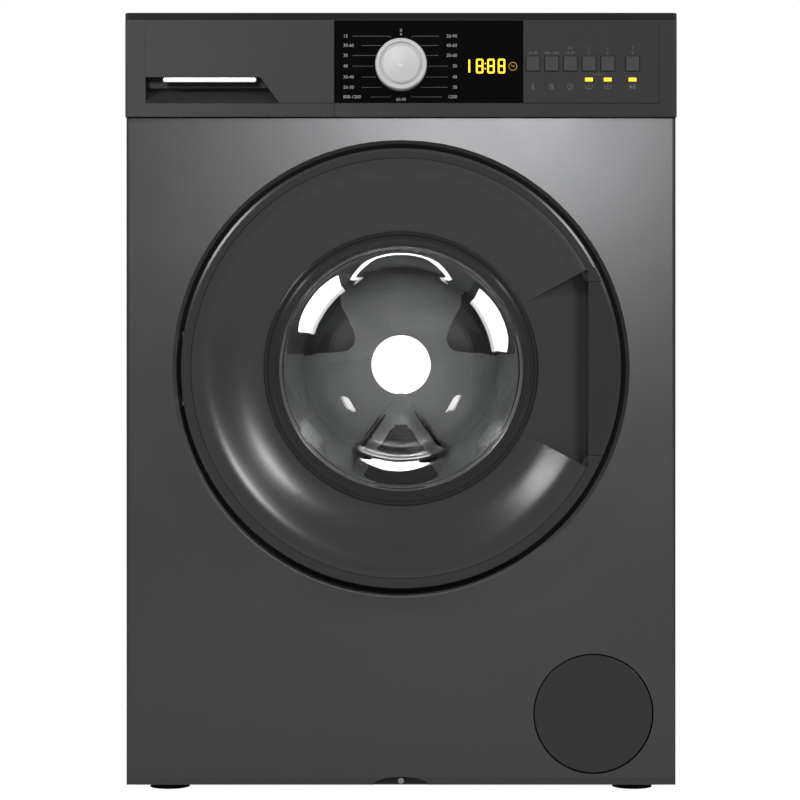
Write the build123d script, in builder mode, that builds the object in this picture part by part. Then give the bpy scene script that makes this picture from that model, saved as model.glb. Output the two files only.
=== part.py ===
"""Front load washing machine, as an assembly of separate pieces.

Frame: millimetres, +Z up, the front faces -Y, +X is to the right of someone facing the front.
The origin is on the floor, under the centre of the overall box.
"""

import os
from math import cos, radians, sin

from build123d import *

# ---------------------------------------------------------------- driving dimensions

FRONT = -247.0  # outer face of the front sheet
REAR = 266.0  # outer face of the rear sheet
DEEPEST = 281.0  # tips of the rear connectors
HALF_WIDTH = 298.5  # fascia and worktop
CABINET_HALF = 298.2  # sheet metal
TOP = 845.0
SHEET_BOTTOM = 8.0
SHEET_TOP = 829.0
SHEET = 1.2  # sheet metal thickness
FLANGE = 16.0  # folded edge of the front sheet

FRONT_PANEL_TOP = 732.1
FASCIA_BOTTOM = 732.5
FASCIA_TOP = 837.2
FASCIA_FACE = FRONT - 8.0  # the frame round the inlays
INLAY_FACE = FRONT - 9.2  # raised inlays: drawer, display and buttons
FASCIA_WALL = 2.5
INLAY_LEFT, INLAY_RIGHT = -276.4, 278.2
INLAY_BOTTOM, INLAY_TOP = 747.3, 836.6
DRAWER_RIGHT = -72.4  # seam between drawer and fascia
DISPLAY_RIGHT = 132.0

DOOR_Z = 460.0
RIM_RADIUS = 236.0
DOOR_FRONT = FRONT - 34.0
DOOR_BACK = FRONT + 10.0
JOINT_RADIUS = 225.0  # line between rim and cover
BEZEL_RADIUS = 148.4
GLASS_RADIUS = 132.3
RECESS_DEPTH = 14.0
RECESS_RADIUS = 239.5
RECESS_MOUTH = 247.6
MOUTH_RADIUS = 166.0
SCOOP_ANGLE = 28.0  # half angle of the finger scoop
HANDLE_LEFT = 200.1
HANDLE_HALF = 92.9
HANDLE_GAP = 0.5
HINGE_X, HINGE_Y = -229.0, FRONT - 20.0
LEVER_X, LEVER_Y = 219.0, FRONT - 20.0
HOOK_X, HOOK_Y = 212.0, FRONT - 2.0

DRUM_RADIUS = 235.0
DRUM_FRONT, DRUM_BACK = -170.0, 140.0
DRUM_MOUTH = 152.0
DRUM_SHEET = 1.2
TUB_RADIUS = 256.0
TUB_WALL = 6.0
TUB_FRONT, TUB_SPLIT, TUB_BACK = -187.0, -20.0, 186.0
TUB_MOUTH = 163.0

PULLEY_RADIUS, MOTOR_PULLEY_RADIUS = 150.0, 11.0
PULLEY_Y = 224.0
MOTOR_X, MOTOR_Z = -95.0, 128.0

KNOB_Z = 787.5
BUTTON_XS = [142.5, 162.8, 182.9, 203.1, 223.4, 250.2]
BUTTON_Z = 789.6
BUTTON_WIDTH, BUTTON_HEIGHT = 14.0, 15.6
LED_Z = 772.5

FILTER_X, FILTER_Z = 208.7, 85.7
FILTER_COVER_RADIUS = 63.8
CLIP_RADIUS = 50.0  # circle of the three clips that hold the service cover

FEET = {
    "foot_front_left": (-255.0, FRONT + 48.0),
    "foot_front_right": (255.0, FRONT + 48.0),
    "foot_rear_left": (-255.0, REAR - 48.0),
    "foot_rear_right": (255.0, REAR - 48.0),
}
BASE_BOTTOM, BASE_TOP = 16.0, 48.0
DAMPER_X, DAMPER_Y = 150.0, 20.0
SPRING_X, SPRING_Y = 225.0, 76.0
SPRING_LOW, SPRING_HIGH = 640.0, 800.0
INLET_X, INLET_Z = 200.0, 765.0
DRAIN_X, DRAIN_Z = 262.0, 700.0
FILL_X, FILL_Y = -185.0, 10.0
GAP = 0.2

DOOR_AXIS = Axis((0, 0, DOOR_Z), (0, 1, 0))
DOOR_PLANE = Plane.XY.offset(DOOR_Z)  # its X is the radius from the door's axis


# ---------------------------------------------------------------- helpers


def save(part, name):
    """Labels a finished piece and writes its STEP file."""
    part.label = name
    export_step(part, f"parts/{name}.step")


def block(x0, x1, y0, y1, z0, z1, mode=Mode.ADD):
    """A box given by its limits, added to the part being built."""
    with Locations(((x0 + x1) / 2, (y0 + y1) / 2, (z0 + z1) / 2)):
        Box(x1 - x0, y1 - y0, z1 - z0, mode=mode)


def rod_y(x, z, radius, y0, y1, mode=Mode.ADD):
    """A cylinder along Y."""
    with Locations(Location((x, (y0 + y1) / 2, z), (90, 0, 0))):
        Cylinder(radius, y1 - y0, mode=mode)


def rod_z(x, y, radius, z0, z1, mode=Mode.ADD):
    """A cylinder along Z."""
    with Locations((x, y, (z0 + z1) / 2)):
        Cylinder(radius, z1 - z0, mode=mode)


def turned(points, axis=DOOR_AXIS, plane=DOOR_PLANE, mode=Mode.ADD, arc=360):
    """Turns a closed outline of (radius, y) points round an axis."""
    with BuildSketch(plane) as outline:
        with BuildLine():
            Polyline(*points, close=True)
        make_face()
    revolve(outline.sketch, axis=axis, revolution_arc=arc, mode=mode)


def polar(radius, degrees):
    """X and Z of a point round the door's axis."""
    return radius * cos(radians(degrees)), DOOR_Z + radius * sin(radians(degrees))


def hose(points, radii, outer, inner):
    """A bent tube along a route of straight runs and tangent arcs."""
    with BuildPart() as tube:
        with BuildLine() as route:
            FilletPolyline(*points, radius=radii)
        start = Plane(origin=route.line @ 0, z_dir=route.line % 0)
        with BuildSketch(start):
            Circle(outer)
            Circle(inner, mode=Mode.SUBTRACT)
        sweep(path=route.line)
    return tube.part


# ---------------------------------------------------------------- cabinet


def make_front_panel():
    """Folded front sheet with the dished door recess."""
    with BuildPart() as sheet:
        block(-CABINET_HALF, CABINET_HALF, FRONT, FRONT + FLANGE, SHEET_BOTTOM, FRONT_PANEL_TOP)
        front_face = sheet.faces().sort_by(Axis.Y)[0]
        low_edge = front_face.edges().sort_by(Axis.Z)[0]
        chamfer(low_edge, length=9, length2=5, reference=front_face)
        uprights = sheet.edges().filter_by(Axis.Z).group_by(Axis.Y)[0]
        fillet(uprights, 4)
        offset(amount=-SHEET, openings=sheet.faces().sort_by(Axis.Y)[-1])
        rod_y(0, DOOR_Z, RECESS_MOUTH + 0.4, FRONT - 1, FRONT + 3, mode=Mode.SUBTRACT)
        ledge = FRONT + RECESS_DEPTH
        turned([
            (RECESS_MOUTH + 0.4, FRONT), (RECESS_MOUTH + 0.4, FRONT + SHEET),
            (RECESS_MOUTH - 2.4, FRONT + 2.2), (RECESS_RADIUS + 1.4, FRONT + 8),
            (RECESS_RADIUS + 1.2, ledge + SHEET), (MOUTH_RADIUS - SHEET, ledge + SHEET),
            (MOUTH_RADIUS - SHEET, ledge - 5), (MOUTH_RADIUS, ledge - 5),
            (MOUTH_RADIUS, ledge), (RECESS_RADIUS, ledge), (RECESS_RADIUS, FRONT + 7.4),
            (RECESS_MOUTH - 3.6, FRONT + 1.2),
        ])
        rod_y(FILTER_X, FILTER_Z, FILTER_COVER_RADIUS + 1.5, FRONT - 1, FRONT + 3, mode=Mode.SUBTRACT)
        with BuildSketch(Plane.XZ.offset(-(FRONT - 1))):
            with Locations((0, SHEET_BOTTOM)):
                Ellipse(29.5, 9.4)
        extrude(amount=-7, mode=Mode.SUBTRACT)
        # slots for the hinge arms and the door hook
        for side in (-1, 1):
            z = DOOR_Z + side * 34
            block(HINGE_X - 6, HINGE_X + 6, ledge - 1, ledge + 3, z - 7, z + 7, mode=Mode.SUBTRACT)
        block(HOOK_X - 14, HOOK_X + 16, ledge - 1, ledge + 3, DOOR_Z - 8, DOOR_Z + 8, mode=Mode.SUBTRACT)
    return sheet.part


def make_side_panel(side):
    """Side sheet folded inwards on all four edges, with a pressed stiffening field."""
    outer, inner = side * CABINET_HALF, side * (CABINET_HALF - 15)
    y0, y1 = FRONT + FLANGE + GAP, REAR - SHEET - GAP
    with BuildPart() as panel:
        block(min(outer, inner), max(outer, inner), y0, y1, SHEET_BOTTOM, SHEET_TOP)
        opening = panel.faces().sort_by(Axis.X)[0 if side > 0 else -1]
        offset(amount=-SHEET, openings=opening)
        field = Plane(origin=(outer, (y0 + y1) / 2, 420), x_dir=(0, 1, 0), z_dir=(side, 0, 0))
        with BuildSketch(field.offset(-SHEET)):
            RectangleRounded(394, 594, 42)
        extrude(amount=-2)
        with BuildSketch(field):
            RectangleRounded(390, 590, 40)
        extrude(amount=-2, taper=12, mode=Mode.SUBTRACT)
    return panel.part


def make_rear_panel():
    """Rear sheet with the service opening and holes for connectors and transit plugs."""
    with BuildPart() as panel:
        block(-296, 296, REAR - SHEET, REAR, 30, 822)
        with BuildSketch(Plane.XZ.offset(-(REAR - 5))):
            with Locations((0, DOOR_Z - 20)):
                RectangleRounded(330, 390, 60)
        extrude(amount=-10, mode=Mode.SUBTRACT)
        rod_y(INLET_X, INLET_Z, 12, REAR - 3, REAR + 1, mode=Mode.SUBTRACT)
        rod_y(DRAIN_X, DRAIN_Z, 11.5, REAR - 3, REAR + 1, mode=Mode.SUBTRACT)
        rod_y(-220, 770, 10, REAR - 3, REAR + 1, mode=Mode.SUBTRACT)
        for x, z in transit_points():
            rod_y(x, z, 13, REAR - 3, REAR + 1, mode=Mode.SUBTRACT)
        # pressed horizontal beads
        for z in (90, 130, 170):
            block(-230, 230, REAR, REAR + 1.6, z - 6, z + 6)
        fillet(panel.edges().filter_by(Axis.Y).group_by(Axis.Y)[-1], 5)
    return panel.part


def transit_points():
    """Centres of the four transit bolt holes in the rear sheet."""
    return [(side * 205, z) for side in (-1, 1) for z in (300, 620)]


def make_rear_cover():
    """Shallow pressed cover over the pulley and belt."""
    with BuildPart() as cover:
        with BuildSketch(Plane.XZ.offset(-(REAR + GAP))):
            with Locations((0, DOOR_Z - 20)):
                RectangleRounded(366, 426, 70)
        extrude(amount=-1.4)
        with BuildSketch(Plane.XZ.offset(-(REAR + 1.6))):
            with Locations((0, DOOR_Z - 20)):
                RectangleRounded(310, 370, 56)
        extrude(amount=-7, taper=30)
        with BuildSketch(Plane.XZ.offset(-(REAR - 1))):
            with Locations((0, DOOR_Z - 20)):
                RectangleRounded(304, 364, 54)
        extrude(amount=-8, taper=30, mode=Mode.SUBTRACT)
    return cover.part


def make_base_frame():
    """Moulded base with foot bosses, damper seats and the front screw tab."""
    with BuildPart() as base:
        block(-295, 295, FRONT + FLANGE + 2, REAR - 4, BASE_BOTTOM, BASE_TOP)
        block(-292, 292, FRONT + FLANGE + 5, REAR - 7, BASE_BOTTOM + 3, BASE_TOP + 1, mode=Mode.SUBTRACT)
        block(-190, 190, FRONT + 90, REAR - 90, BASE_BOTTOM - 1, BASE_BOTTOM + 4, mode=Mode.SUBTRACT)
        for x in (-DAMPER_X, DAMPER_X):
            block(x - 30, x + 30, FRONT + FLANGE + 4, REAR - 6, BASE_BOTTOM, BASE_BOTTOM + 12)
            block(x - 22, x + 22, DAMPER_Y - 22, DAMPER_Y + 22, BASE_BOTTOM, BASE_TOP + 12)
        for x, y in FEET.values():
            rod_z(x, y, 14, BASE_BOTTOM, BASE_TOP)
        for x, y in FEET.values():
            rod_z(x, y, 5.2, BASE_BOTTOM - 1, BASE_TOP + 1, mode=Mode.SUBTRACT)
        # room for the service bay
        block(FILTER_X - 60, FILTER_X + 60, FRONT + 17, FRONT + 22, BASE_BOTTOM + 3, BASE_TOP + 1,
              mode=Mode.SUBTRACT)
        # tab behind the notch in the front sheet
        block(-27, 27, FRONT + 5.4, FRONT + FLANGE + 4, BASE_BOTTOM, BASE_BOTTOM + 10)
        block(-27, 27, FRONT + 5.4, FRONT + 8.4, SHEET_BOTTOM + 1.6, BASE_BOTTOM + 10)
        rod_y(0, 12.6, 2.2, FRONT + 5, FRONT + 9, mode=Mode.SUBTRACT)
    return base.part


def make_worktop_board():
    """Laminated board."""
    with BuildPart() as board:
        block(-291, 291, FRONT + 4, REAR - 6, SHEET_TOP + GAP, TOP - 0.6)
    return board.part


def make_worktop_trim():
    """Plastic edge round the board. Its front lip lies over the fascia."""
    with BuildPart() as trim:
        block(-HALF_WIDTH, HALF_WIDTH, FASCIA_FACE, REAR, SHEET_TOP + GAP, TOP)
        fillet(trim.edges().filter_by(Axis.Z), 4)
        fillet(trim.faces().sort_by(Axis.Z)[-1].edges(), 1.6)
        block(-291, 291, FRONT + 4, REAR - 6, SHEET_TOP - 1, TOP + 1, mode=Mode.SUBTRACT)
        block(-300, 300, FASCIA_FACE - 1, FRONT + 4, SHEET_TOP - 1, FASCIA_TOP + GAP, mode=Mode.SUBTRACT)
        block(-300, 300, FRONT + 3, FRONT + FLANGE, SHEET_TOP - 1, FASCIA_TOP + GAP, mode=Mode.SUBTRACT)
    return trim.part


def make_top_crossbars():
    """Two channels across the cabinet and the spring hangers."""
    with BuildPart() as bars:
        block(-295, 295, FRONT + 22, FRONT + 62, 823.4, SHEET_TOP - 1.4)
        block(-295, 295, REAR - 44, REAR - 5, 800, SHEET_TOP - 1.4)
        block(-293, 293, REAR - 42, REAR - 7, 799, SHEET_TOP - 3.4, mode=Mode.SUBTRACT)
        for side in (-1, 1):
            x0, x1 = sorted((side * 270, side * 295))
            block(x0, x1, FRONT + 22, REAR - 5, 823.4, SHEET_TOP - 1.4)
            x0, x1 = sorted((side * 205, side * 273))
            block(x0, x1, SPRING_Y - 20, SPRING_Y + 20, SPRING_HIGH, SPRING_HIGH + 3)
            x0, x1 = sorted((side * 270, side * 273))
            block(x0, x1, SPRING_Y - 20, SPRING_Y + 20, SPRING_HIGH, 825)
    return bars.part


# ---------------------------------------------------------------- control panel


def make_control_fascia():
    """Fascia right of the drawer, with the carrier that surrounds the drawer."""
    left = DRAWER_RIGHT + 0.4
    with BuildPart() as fascia:
        block(left, HALF_WIDTH, FASCIA_FACE, FRONT + FLANGE - GAP, FASCIA_BOTTOM, FASCIA_TOP)
        fillet(fascia.edges().filter_by(Axis.Z).group_by(Axis.X)[-1].sort_by(Axis.Y)[0], 3)
        block(DISPLAY_RIGHT + 0.2, INLAY_RIGHT, INLAY_FACE, FASCIA_FACE + 1, INLAY_BOTTOM, INLAY_TOP)
        inner = FASCIA_FACE + FASCIA_WALL
        block(left + 2.5, HALF_WIDTH - 2.5, inner, FRONT + 30, FASCIA_BOTTOM + 2.5, FASCIA_TOP - 2.5,
              mode=Mode.SUBTRACT)
        # carrier plate behind the drawer front
        block(-294.5, left + 3, FRONT + 9.5, FRONT + 12, FASCIA_BOTTOM + 2, FASCIA_TOP - 2)
        block(-281, -92, FRONT + 8, FRONT + 13, 741, 825, mode=Mode.SUBTRACT)
        # room for the worktop board
        block(-296, 291.2, FRONT + 3.8, FRONT + 30, SHEET_TOP, TOP, mode=Mode.SUBTRACT)
        # seat for the display inlay, with a step round it
        block(left - 1, DISPLAY_RIGHT + 0.2, FASCIA_FACE - 1, FASCIA_FACE + 1.2, INLAY_BOTTOM, INLAY_TOP,
              mode=Mode.SUBTRACT)
        rod_y(0, KNOB_Z, 6, FASCIA_FACE - 2, inner + 2, mode=Mode.SUBTRACT)
        block(70, 128, FASCIA_FACE - 2, inner + 2, 776, 799, mode=Mode.SUBTRACT)
        for x in BUTTON_XS:
            hw, hh = BUTTON_WIDTH / 2 + 0.5, BUTTON_HEIGHT / 2 + 0.5
            block(x - hw, x + hw, INLAY_FACE - 1, inner + 2, BUTTON_Z - hh, BUTTON_Z + hh,
                  mode=Mode.SUBTRACT)
        for x in BUTTON_XS[3:]:
            block(x - 4.1, x + 4.1, INLAY_FACE - 1, inner + 2, LED_Z - 1.9, LED_Z + 1.9, mode=Mode.SUBTRACT)
    return fascia.part


def make_display_panel():
    """Black glossy inlay behind the knob and over the display."""
    with BuildPart() as panel:
        block(DRAWER_RIGHT + 0.6, DISPLAY_RIGHT, INLAY_FACE, FASCIA_FACE + 1.2,
              INLAY_BOTTOM + 0.2, INLAY_TOP - 0.2)
        rod_y(0, KNOB_Z, 6, INLAY_FACE - 1, FASCIA_FACE + 2, mode=Mode.SUBTRACT)
        front_face = panel.faces().sort_by(Axis.Y)[0]
        chamfer(front_face.outer_wire().edges(), 0.3)
    return panel.part


def make_led_lenses():
    """Three small light windows under the last three buttons."""
    with BuildPart() as lenses:
        for x in BUTTON_XS[3:]:
            block(x - 4, x + 4, INLAY_FACE - 0.3, INLAY_FACE + 3.4, LED_Z - 1.8, LED_Z + 1.8)
    return lenses.part


def make_button(x):
    """Square push button with a rear flange that keeps it in its hole."""
    hw, hh = BUTTON_WIDTH / 2, BUTTON_HEIGHT / 2
    flange_front = FASCIA_FACE + FASCIA_WALL + GAP
    with BuildPart() as button:
        block(x - hw, x + hw, INLAY_FACE - 1.8, flange_front + 1, BUTTON_Z - hh, BUTTON_Z + hh)
        fillet(button.edges().filter_by(Axis.Y), 0.8)
        fillet(button.faces().sort_by(Axis.Y)[0].edges(), 0.5)
        block(x - hw - 1.4, x + hw + 1.4, flange_front, flange_front + 1.4,
              BUTTON_Z - hh - 1.4, BUTTON_Z + hh + 1.4)
        rod_y(x, BUTTON_Z, 2, flange_front + 1, flange_front + 6)
    return button.part


def make_program_knob():
    """Turning knob: outer ring with a pointer notch, a groove and a domed cap."""
    axis = Axis((0, 0, KNOB_Z), (0, 1, 0))
    base, front = INLAY_FACE - 0.6, INLAY_FACE - 17.0
    with BuildPart() as knob:
        turned([
            (0, front), (19.4, front + 0.5), (20.9, front + 1.6), (20.9, front + 4), (23.1, front + 4),
            (23.1, front + 2.2), (24.2, front + 1.2), (26.6, front + 1.2), (27.7, front + 2.4),
            (27.7, base), (25, base), (25, front + 6.5), (3, front + 6.5), (3, FRONT + 2), (0, FRONT + 2),
        ], axis=axis, plane=Plane.XY.offset(KNOB_Z))
        block(-0.7, 0.7, front - 1, front + 3.4, KNOB_Z + 22.5, KNOB_Z + 29, mode=Mode.SUBTRACT)
    return knob.part


# ---------------------------------------------------------------- detergent drawer

POCKET_TOP, POCKET_FLAT = 775.1, -152.2
POCKET_CORNER = -131.6
POCKET_BACK = FRONT + 12.0


def pocket_outline(grow):
    """Trapezoid of the finger pocket in the drawer front, grown outwards."""
    return [
        (INLAY_LEFT - grow, INLAY_BOTTOM - grow), (POCKET_CORNER + 1.9 * grow, INLAY_BOTTOM - grow),
        (POCKET_FLAT + 0.6 * grow, POCKET_TOP + grow), (INLAY_LEFT - grow, POCKET_TOP + grow),
    ]


def pocket_volume(grow, front):
    """The pocket's space: the trapezoid over a sloping floor, with an undercut behind the lip."""
    back = POCKET_BACK + grow
    with BuildPart() as space:
        with BuildSketch(Plane.XZ.offset(-front)) as outline:
            with BuildLine():
                Polyline(*pocket_outline(grow), close=True)
            make_face()
        extrude(amount=-(back - front))
        block(INLAY_LEFT - grow, POCKET_FLAT + grow, FASCIA_FACE + FASCIA_WALL - grow, back,
              POCKET_TOP - 1, 800 + grow)
        origin = (0, INLAY_FACE, INLAY_BOTTOM - 1.2 * grow)
        slope = Plane(origin=origin, x_dir=(1, 0, 0), z_dir=(0, 18.5, -21.2))
        split(bisect_by=slope, keep=Keep.BOTTOM)
    return space.part


def make_drawer_front():
    """Drawer front with the wrapped left corner, raised inlay and finger pocket."""
    pocket_shell = pocket_volume(2.0, FASCIA_FACE)
    pocket = pocket_volume(0.0, INLAY_FACE - 1)
    with BuildPart() as front:
        block(-HALF_WIDTH, DRAWER_RIGHT, FASCIA_FACE, FRONT + FLANGE - 0.6, FASCIA_BOTTOM, FASCIA_TOP)
        fillet(front.edges().filter_by(Axis.Z).group_by(Axis.X)[0].sort_by(Axis.Y)[0], 3)
        block(INLAY_LEFT, DRAWER_RIGHT, INLAY_FACE, FASCIA_FACE + 1, INLAY_BOTTOM, INLAY_TOP)
        inner = FASCIA_FACE + FASCIA_WALL
        block(-HALF_WIDTH + 2.5, DRAWER_RIGHT + 1, inner, FRONT + 30, FASCIA_BOTTOM - 1, FASCIA_TOP + 1,
              mode=Mode.SUBTRACT)
        add(pocket_shell)
        add(pocket, mode=Mode.SUBTRACT)
    return front.part


TRAY_LEFT, TRAY_RIGHT = -272.0, -100.0
TRAY_FRONT, TRAY_BACK = POCKET_BACK + 2.0, FRONT + 250.0
TRAY_BOTTOM, TRAY_TOP = 748.0, 812.0
TRAY_WALL = 2.2
TRAY_DIVIDERS = (-214.0, -158.0)


def make_drawer_tray():
    """Detergent tray with three compartments and runner ribs."""
    with BuildPart() as tray:
        block(TRAY_LEFT, TRAY_RIGHT, TRAY_FRONT, TRAY_BACK, TRAY_BOTTOM, TRAY_TOP)
        edges = [TRAY_LEFT, *TRAY_DIVIDERS, TRAY_RIGHT]
        for x0, x1 in zip(edges[:-1], edges[1:]):
            block(x0 + TRAY_WALL, x1 - TRAY_WALL, TRAY_FRONT + 2.5, TRAY_BACK - 2.5,
                  TRAY_BOTTOM + 2.5, TRAY_TOP + 1, mode=Mode.SUBTRACT)
        for x0, x1 in ((TRAY_LEFT - 2.4, TRAY_LEFT), (TRAY_RIGHT, TRAY_RIGHT + 2.4)):
            block(x0, x1, TRAY_FRONT + 6, TRAY_BACK, TRAY_TOP - 8, TRAY_TOP - 5)
    return tray.part


def make_dispenser_housing():
    """Box that the tray slides into, open at the front, with hose spigots."""
    with BuildPart() as housing:
        block(-279, -93, FRONT + FLANGE + 0.8, FRONT + 275, 738, 822)
        block(-276.5, -95.5, FRONT + FLANGE - 1, FRONT + 272, 741, 819, mode=Mode.SUBTRACT)
        rod_z(FILL_X, FILL_Y, 15, 722, 742)
        rod_z(FILL_X, FILL_Y, 12.5, 720, 745, mode=Mode.SUBTRACT)
        rod_y(-150, 795, 9, FRONT + 272, FRONT + 295)
        rod_y(-150, 795, 7, FRONT + 260, FRONT + 296, mode=Mode.SUBTRACT)
    return housing.part


# ---------------------------------------------------------------- door

COVER_WALL = 2.6
COVER_PROFILE = [  # radius, depth behind the front sheet's face; negative is in front
    (JOINT_RADIUS, -33.2), (218, -33.6), (210, -32.2), (202, -28.8), (194, -24.2), (184, -18.4),
    (174, -13.4), (164, -9.8), (155, -7.4), (BEZEL_RADIUS + 0.3, -6.4),
]
SCOOP_PROFILE = [
    (222, -11.4), (205, -10.6), (190, -9.4), (170, -7.8), (155, -6.8), (BEZEL_RADIUS + 0.3, -6.4),
]


def shell_outline(profile, wall):
    """Closed outline of a turned shell: a smooth front curve and the same curve set back by the wall."""
    front_points = [(r, FRONT + y) for r, y in profile]
    back_points = [(r, FRONT + y + wall) for r, y in profile]
    with BuildSketch(DOOR_PLANE) as outline:
        with BuildLine():
            face_curve = Spline(*front_points)
            back_curve = Spline(*back_points)
            Line(face_curve @ 0, back_curve @ 0)
            Line(face_curve @ 1, back_curve @ 1)
        make_face()
    return outline.sketch


def sector(half_angle, y0, y1, reach=260):
    """A wedge of space round the +X direction."""
    with BuildPart() as wedge:
        with BuildSketch(Plane.XZ.offset(-y0)):
            with BuildLine():
                Polyline((0, DOOR_Z), polar(reach * 1.2, half_angle), (reach * 1.3, DOOR_Z),
                         polar(reach * 1.2, -half_angle), close=True)
            make_face()
        extrude(amount=-(y1 - y0))
    return wedge.part


def make_door_cover():
    """Dished decorative ring. A sector beside the handle is sunk to make room for fingers."""
    beside_handle = sector(SCOOP_ANGLE, FRONT - 40, FRONT)
    with BuildPart() as cover:
        revolve(shell_outline(COVER_PROFILE, COVER_WALL), axis=DOOR_AXIS)
        add(beside_handle, mode=Mode.SUBTRACT)
    with BuildPart() as scoop:
        revolve(shell_outline(SCOOP_PROFILE, COVER_WALL), axis=DOOR_AXIS)
        add(beside_handle, mode=Mode.INTERSECT)
    # radial walls that join the dish to the sunk sector
    with BuildPart() as walls:
        wall_points = [(r, FRONT + y + 0.05) for r, y in COVER_PROFILE[1:-2]]
        low_points = [(r, FRONT + y + COVER_WALL) for r, y in SCOOP_PROFILE[1:-1]]
        low_points.insert(0, (COVER_PROFILE[1][0], FRONT + SCOOP_PROFILE[0][1] + COVER_WALL))
        low_points.reverse()
        along, up = cos(radians(SCOOP_ANGLE)), sin(radians(SCOOP_ANGLE))
        for side in (-1, 1):
            across = Plane(origin=(0, 0, DOOR_Z), x_dir=(along, 0, side * up), z_dir=(-side * up, 0, along))
            with BuildSketch(across):
                with BuildLine():
                    Polyline(*wall_points, *low_points, close=True)
                make_face()
            extrude(amount=2.0 * side)
    with BuildPart() as whole:
        add(cover.part)
        add(scoop.part)
        add(walls.part)
    return whole.part


def make_door_rim():
    """Outer door ring. It leaves a window for the handle and a bay for the hinge."""
    # flat corners above and below the handle
    with BuildPart() as corners:
        rod_y(0, DOOR_Z, RIM_RADIUS - 2, DOOR_FRONT, DOOR_FRONT + 3)
        block(HANDLE_LEFT, 260, DOOR_FRONT - 1, DOOR_FRONT + 4, DOOR_Z - 108, DOOR_Z + 108,
              mode=Mode.INTERSECT)
    with BuildPart() as rim:
        turned([
            (RIM_RADIUS, DOOR_BACK), (RIM_RADIUS, DOOR_FRONT + 3.4), (RIM_RADIUS - 1, DOOR_FRONT + 1),
            (RIM_RADIUS - 3.4, DOOR_FRONT), (JOINT_RADIUS + 0.4, DOOR_FRONT),
            (JOINT_RADIUS + 0.4, DOOR_FRONT + 3.6), (JOINT_RADIUS - 6, DOOR_FRONT + 3.6),
            (JOINT_RADIUS - 6, DOOR_FRONT + 5.6),
            (RIM_RADIUS - 3, DOOR_FRONT + 5.6), (RIM_RADIUS - 3, DOOR_BACK),
        ])
        add(corners.part)
        top = DOOR_Z + HANDLE_HALF + HANDLE_GAP
        bottom = DOOR_Z - HANDLE_HALF - HANDLE_GAP
        block(HANDLE_LEFT - 2, 260, DOOR_FRONT - 1, FRONT - 10, bottom, top, mode=Mode.SUBTRACT)
        block(-260, -214, DOOR_FRONT + 4, DOOR_BACK + 1, DOOR_Z - 46, DOOR_Z + 46, mode=Mode.SUBTRACT)
        for side in (-1, 1):
            z0, z1 = sorted((DOOR_Z + side * 64, DOOR_Z + side * 69))
            block(LEVER_X - 4.6, LEVER_X + 2.6, LEVER_Y - 4.6, FRONT, z0, z1)
            block(LEVER_X - 4.6, LEVER_X + 5.5, FRONT - 9, FRONT, z0, z1)
            rod_z(LEVER_X, LEVER_Y, 2.45, z0 - 1, z1 + 1, mode=Mode.SUBTRACT)
    return rim.part


def make_door_handle():
    """Pull lever flush with the rim, turning on two moulded trunnions."""
    with BuildPart() as handle:
        turned([
            (RIM_RADIUS, FRONT - 18.5), (RIM_RADIUS, DOOR_FRONT + 3.4), (RIM_RADIUS - 1, DOOR_FRONT + 1),
            (RIM_RADIUS - 3.4, DOOR_FRONT), (190, DOOR_FRONT), (190, DOOR_FRONT + 3),
            (RIM_RADIUS - 3, DOOR_FRONT + 3), (RIM_RADIUS - 3, FRONT - 18.5),
        ])
        block(HANDLE_LEFT + HANDLE_GAP, 260, DOOR_FRONT - 1, FRONT,
              DOOR_Z - HANDLE_HALF, DOOR_Z + HANDLE_HALF, mode=Mode.INTERSECT)
        block(HANDLE_LEFT + HANDLE_GAP, HANDLE_LEFT + 4, DOOR_FRONT + 2, DOOR_FRONT + 7.5,
              DOOR_Z - HANDLE_HALF + 3, DOOR_Z + HANDLE_HALF - 3)
        for side in (-1, 1):
            z0, z1 = sorted((DOOR_Z + side * 58, DOOR_Z + side * 63.6))
            block(LEVER_X - 5, LEVER_X + 5, DOOR_FRONT + 2, LEVER_Y + 4.4, z0, z1)
            z0, z1 = sorted((DOOR_Z + side * 60, DOOR_Z + side * 69))
            rod_z(LEVER_X, LEVER_Y, 2.4, z0, z1)
    return handle.part


def make_door_bezel():
    """Stepped trim ring round the glass."""
    with BuildPart() as bezel:
        turned([
            (BEZEL_RADIUS, FRONT - 3.4), (BEZEL_RADIUS, FRONT - 7.2),
            (147, FRONT - 8.2), (145.2, FRONT - 8.2),
            (143.6, FRONT - 6.4), (142, FRONT - 6.2), (139.5, FRONT - 7.6), (135.5, FRONT - 6.6),
            (GLASS_RADIUS, FRONT - 4.2), (GLASS_RADIUS, FRONT - 3.4),
        ])
    return bezel.part


GLASS_WALL = 4.0
# each ring of the bowl: radius, depth behind the cabinet's front and rise of its centre
GLASS_SIDE = [(132.5, 0.8, 0.0), (121.5, 45.0, 3.8), (109.0, 92.0, 8.0)]
GLASS_HEEL = [(109.0, 92.0, 8.0), (74.0, 116.0, 7.0)]
GLASS_FLAT = [(74.0, 116.0, 7.0), (38.0, 122.0, 6.0)]
HOLLOW_SIDE = [(radius - GLASS_WALL, depth, rise) for radius, depth, rise in GLASS_SIDE]
HOLLOW_HEEL = [(105.0, 92.0, 8.0), (72.5, 116.0, 7.0)]
HOLLOW_FLAT = [(72.5, 116.0, 7.0), (38.0, 122.0, 6.0)]


def bowl(stages, forward):
    """A solid bowl lofted through rings, one loft per stage, moved forward by a wall's thickness."""
    with BuildPart() as solid:
        for rings in stages:
            for radius, depth, rise in rings:
                with BuildSketch(Plane.XZ.offset(-(FRONT + depth - forward))):
                    with Locations((0, DOOR_Z + rise)):
                        Circle(radius)
            loft()
    return solid.part


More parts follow.
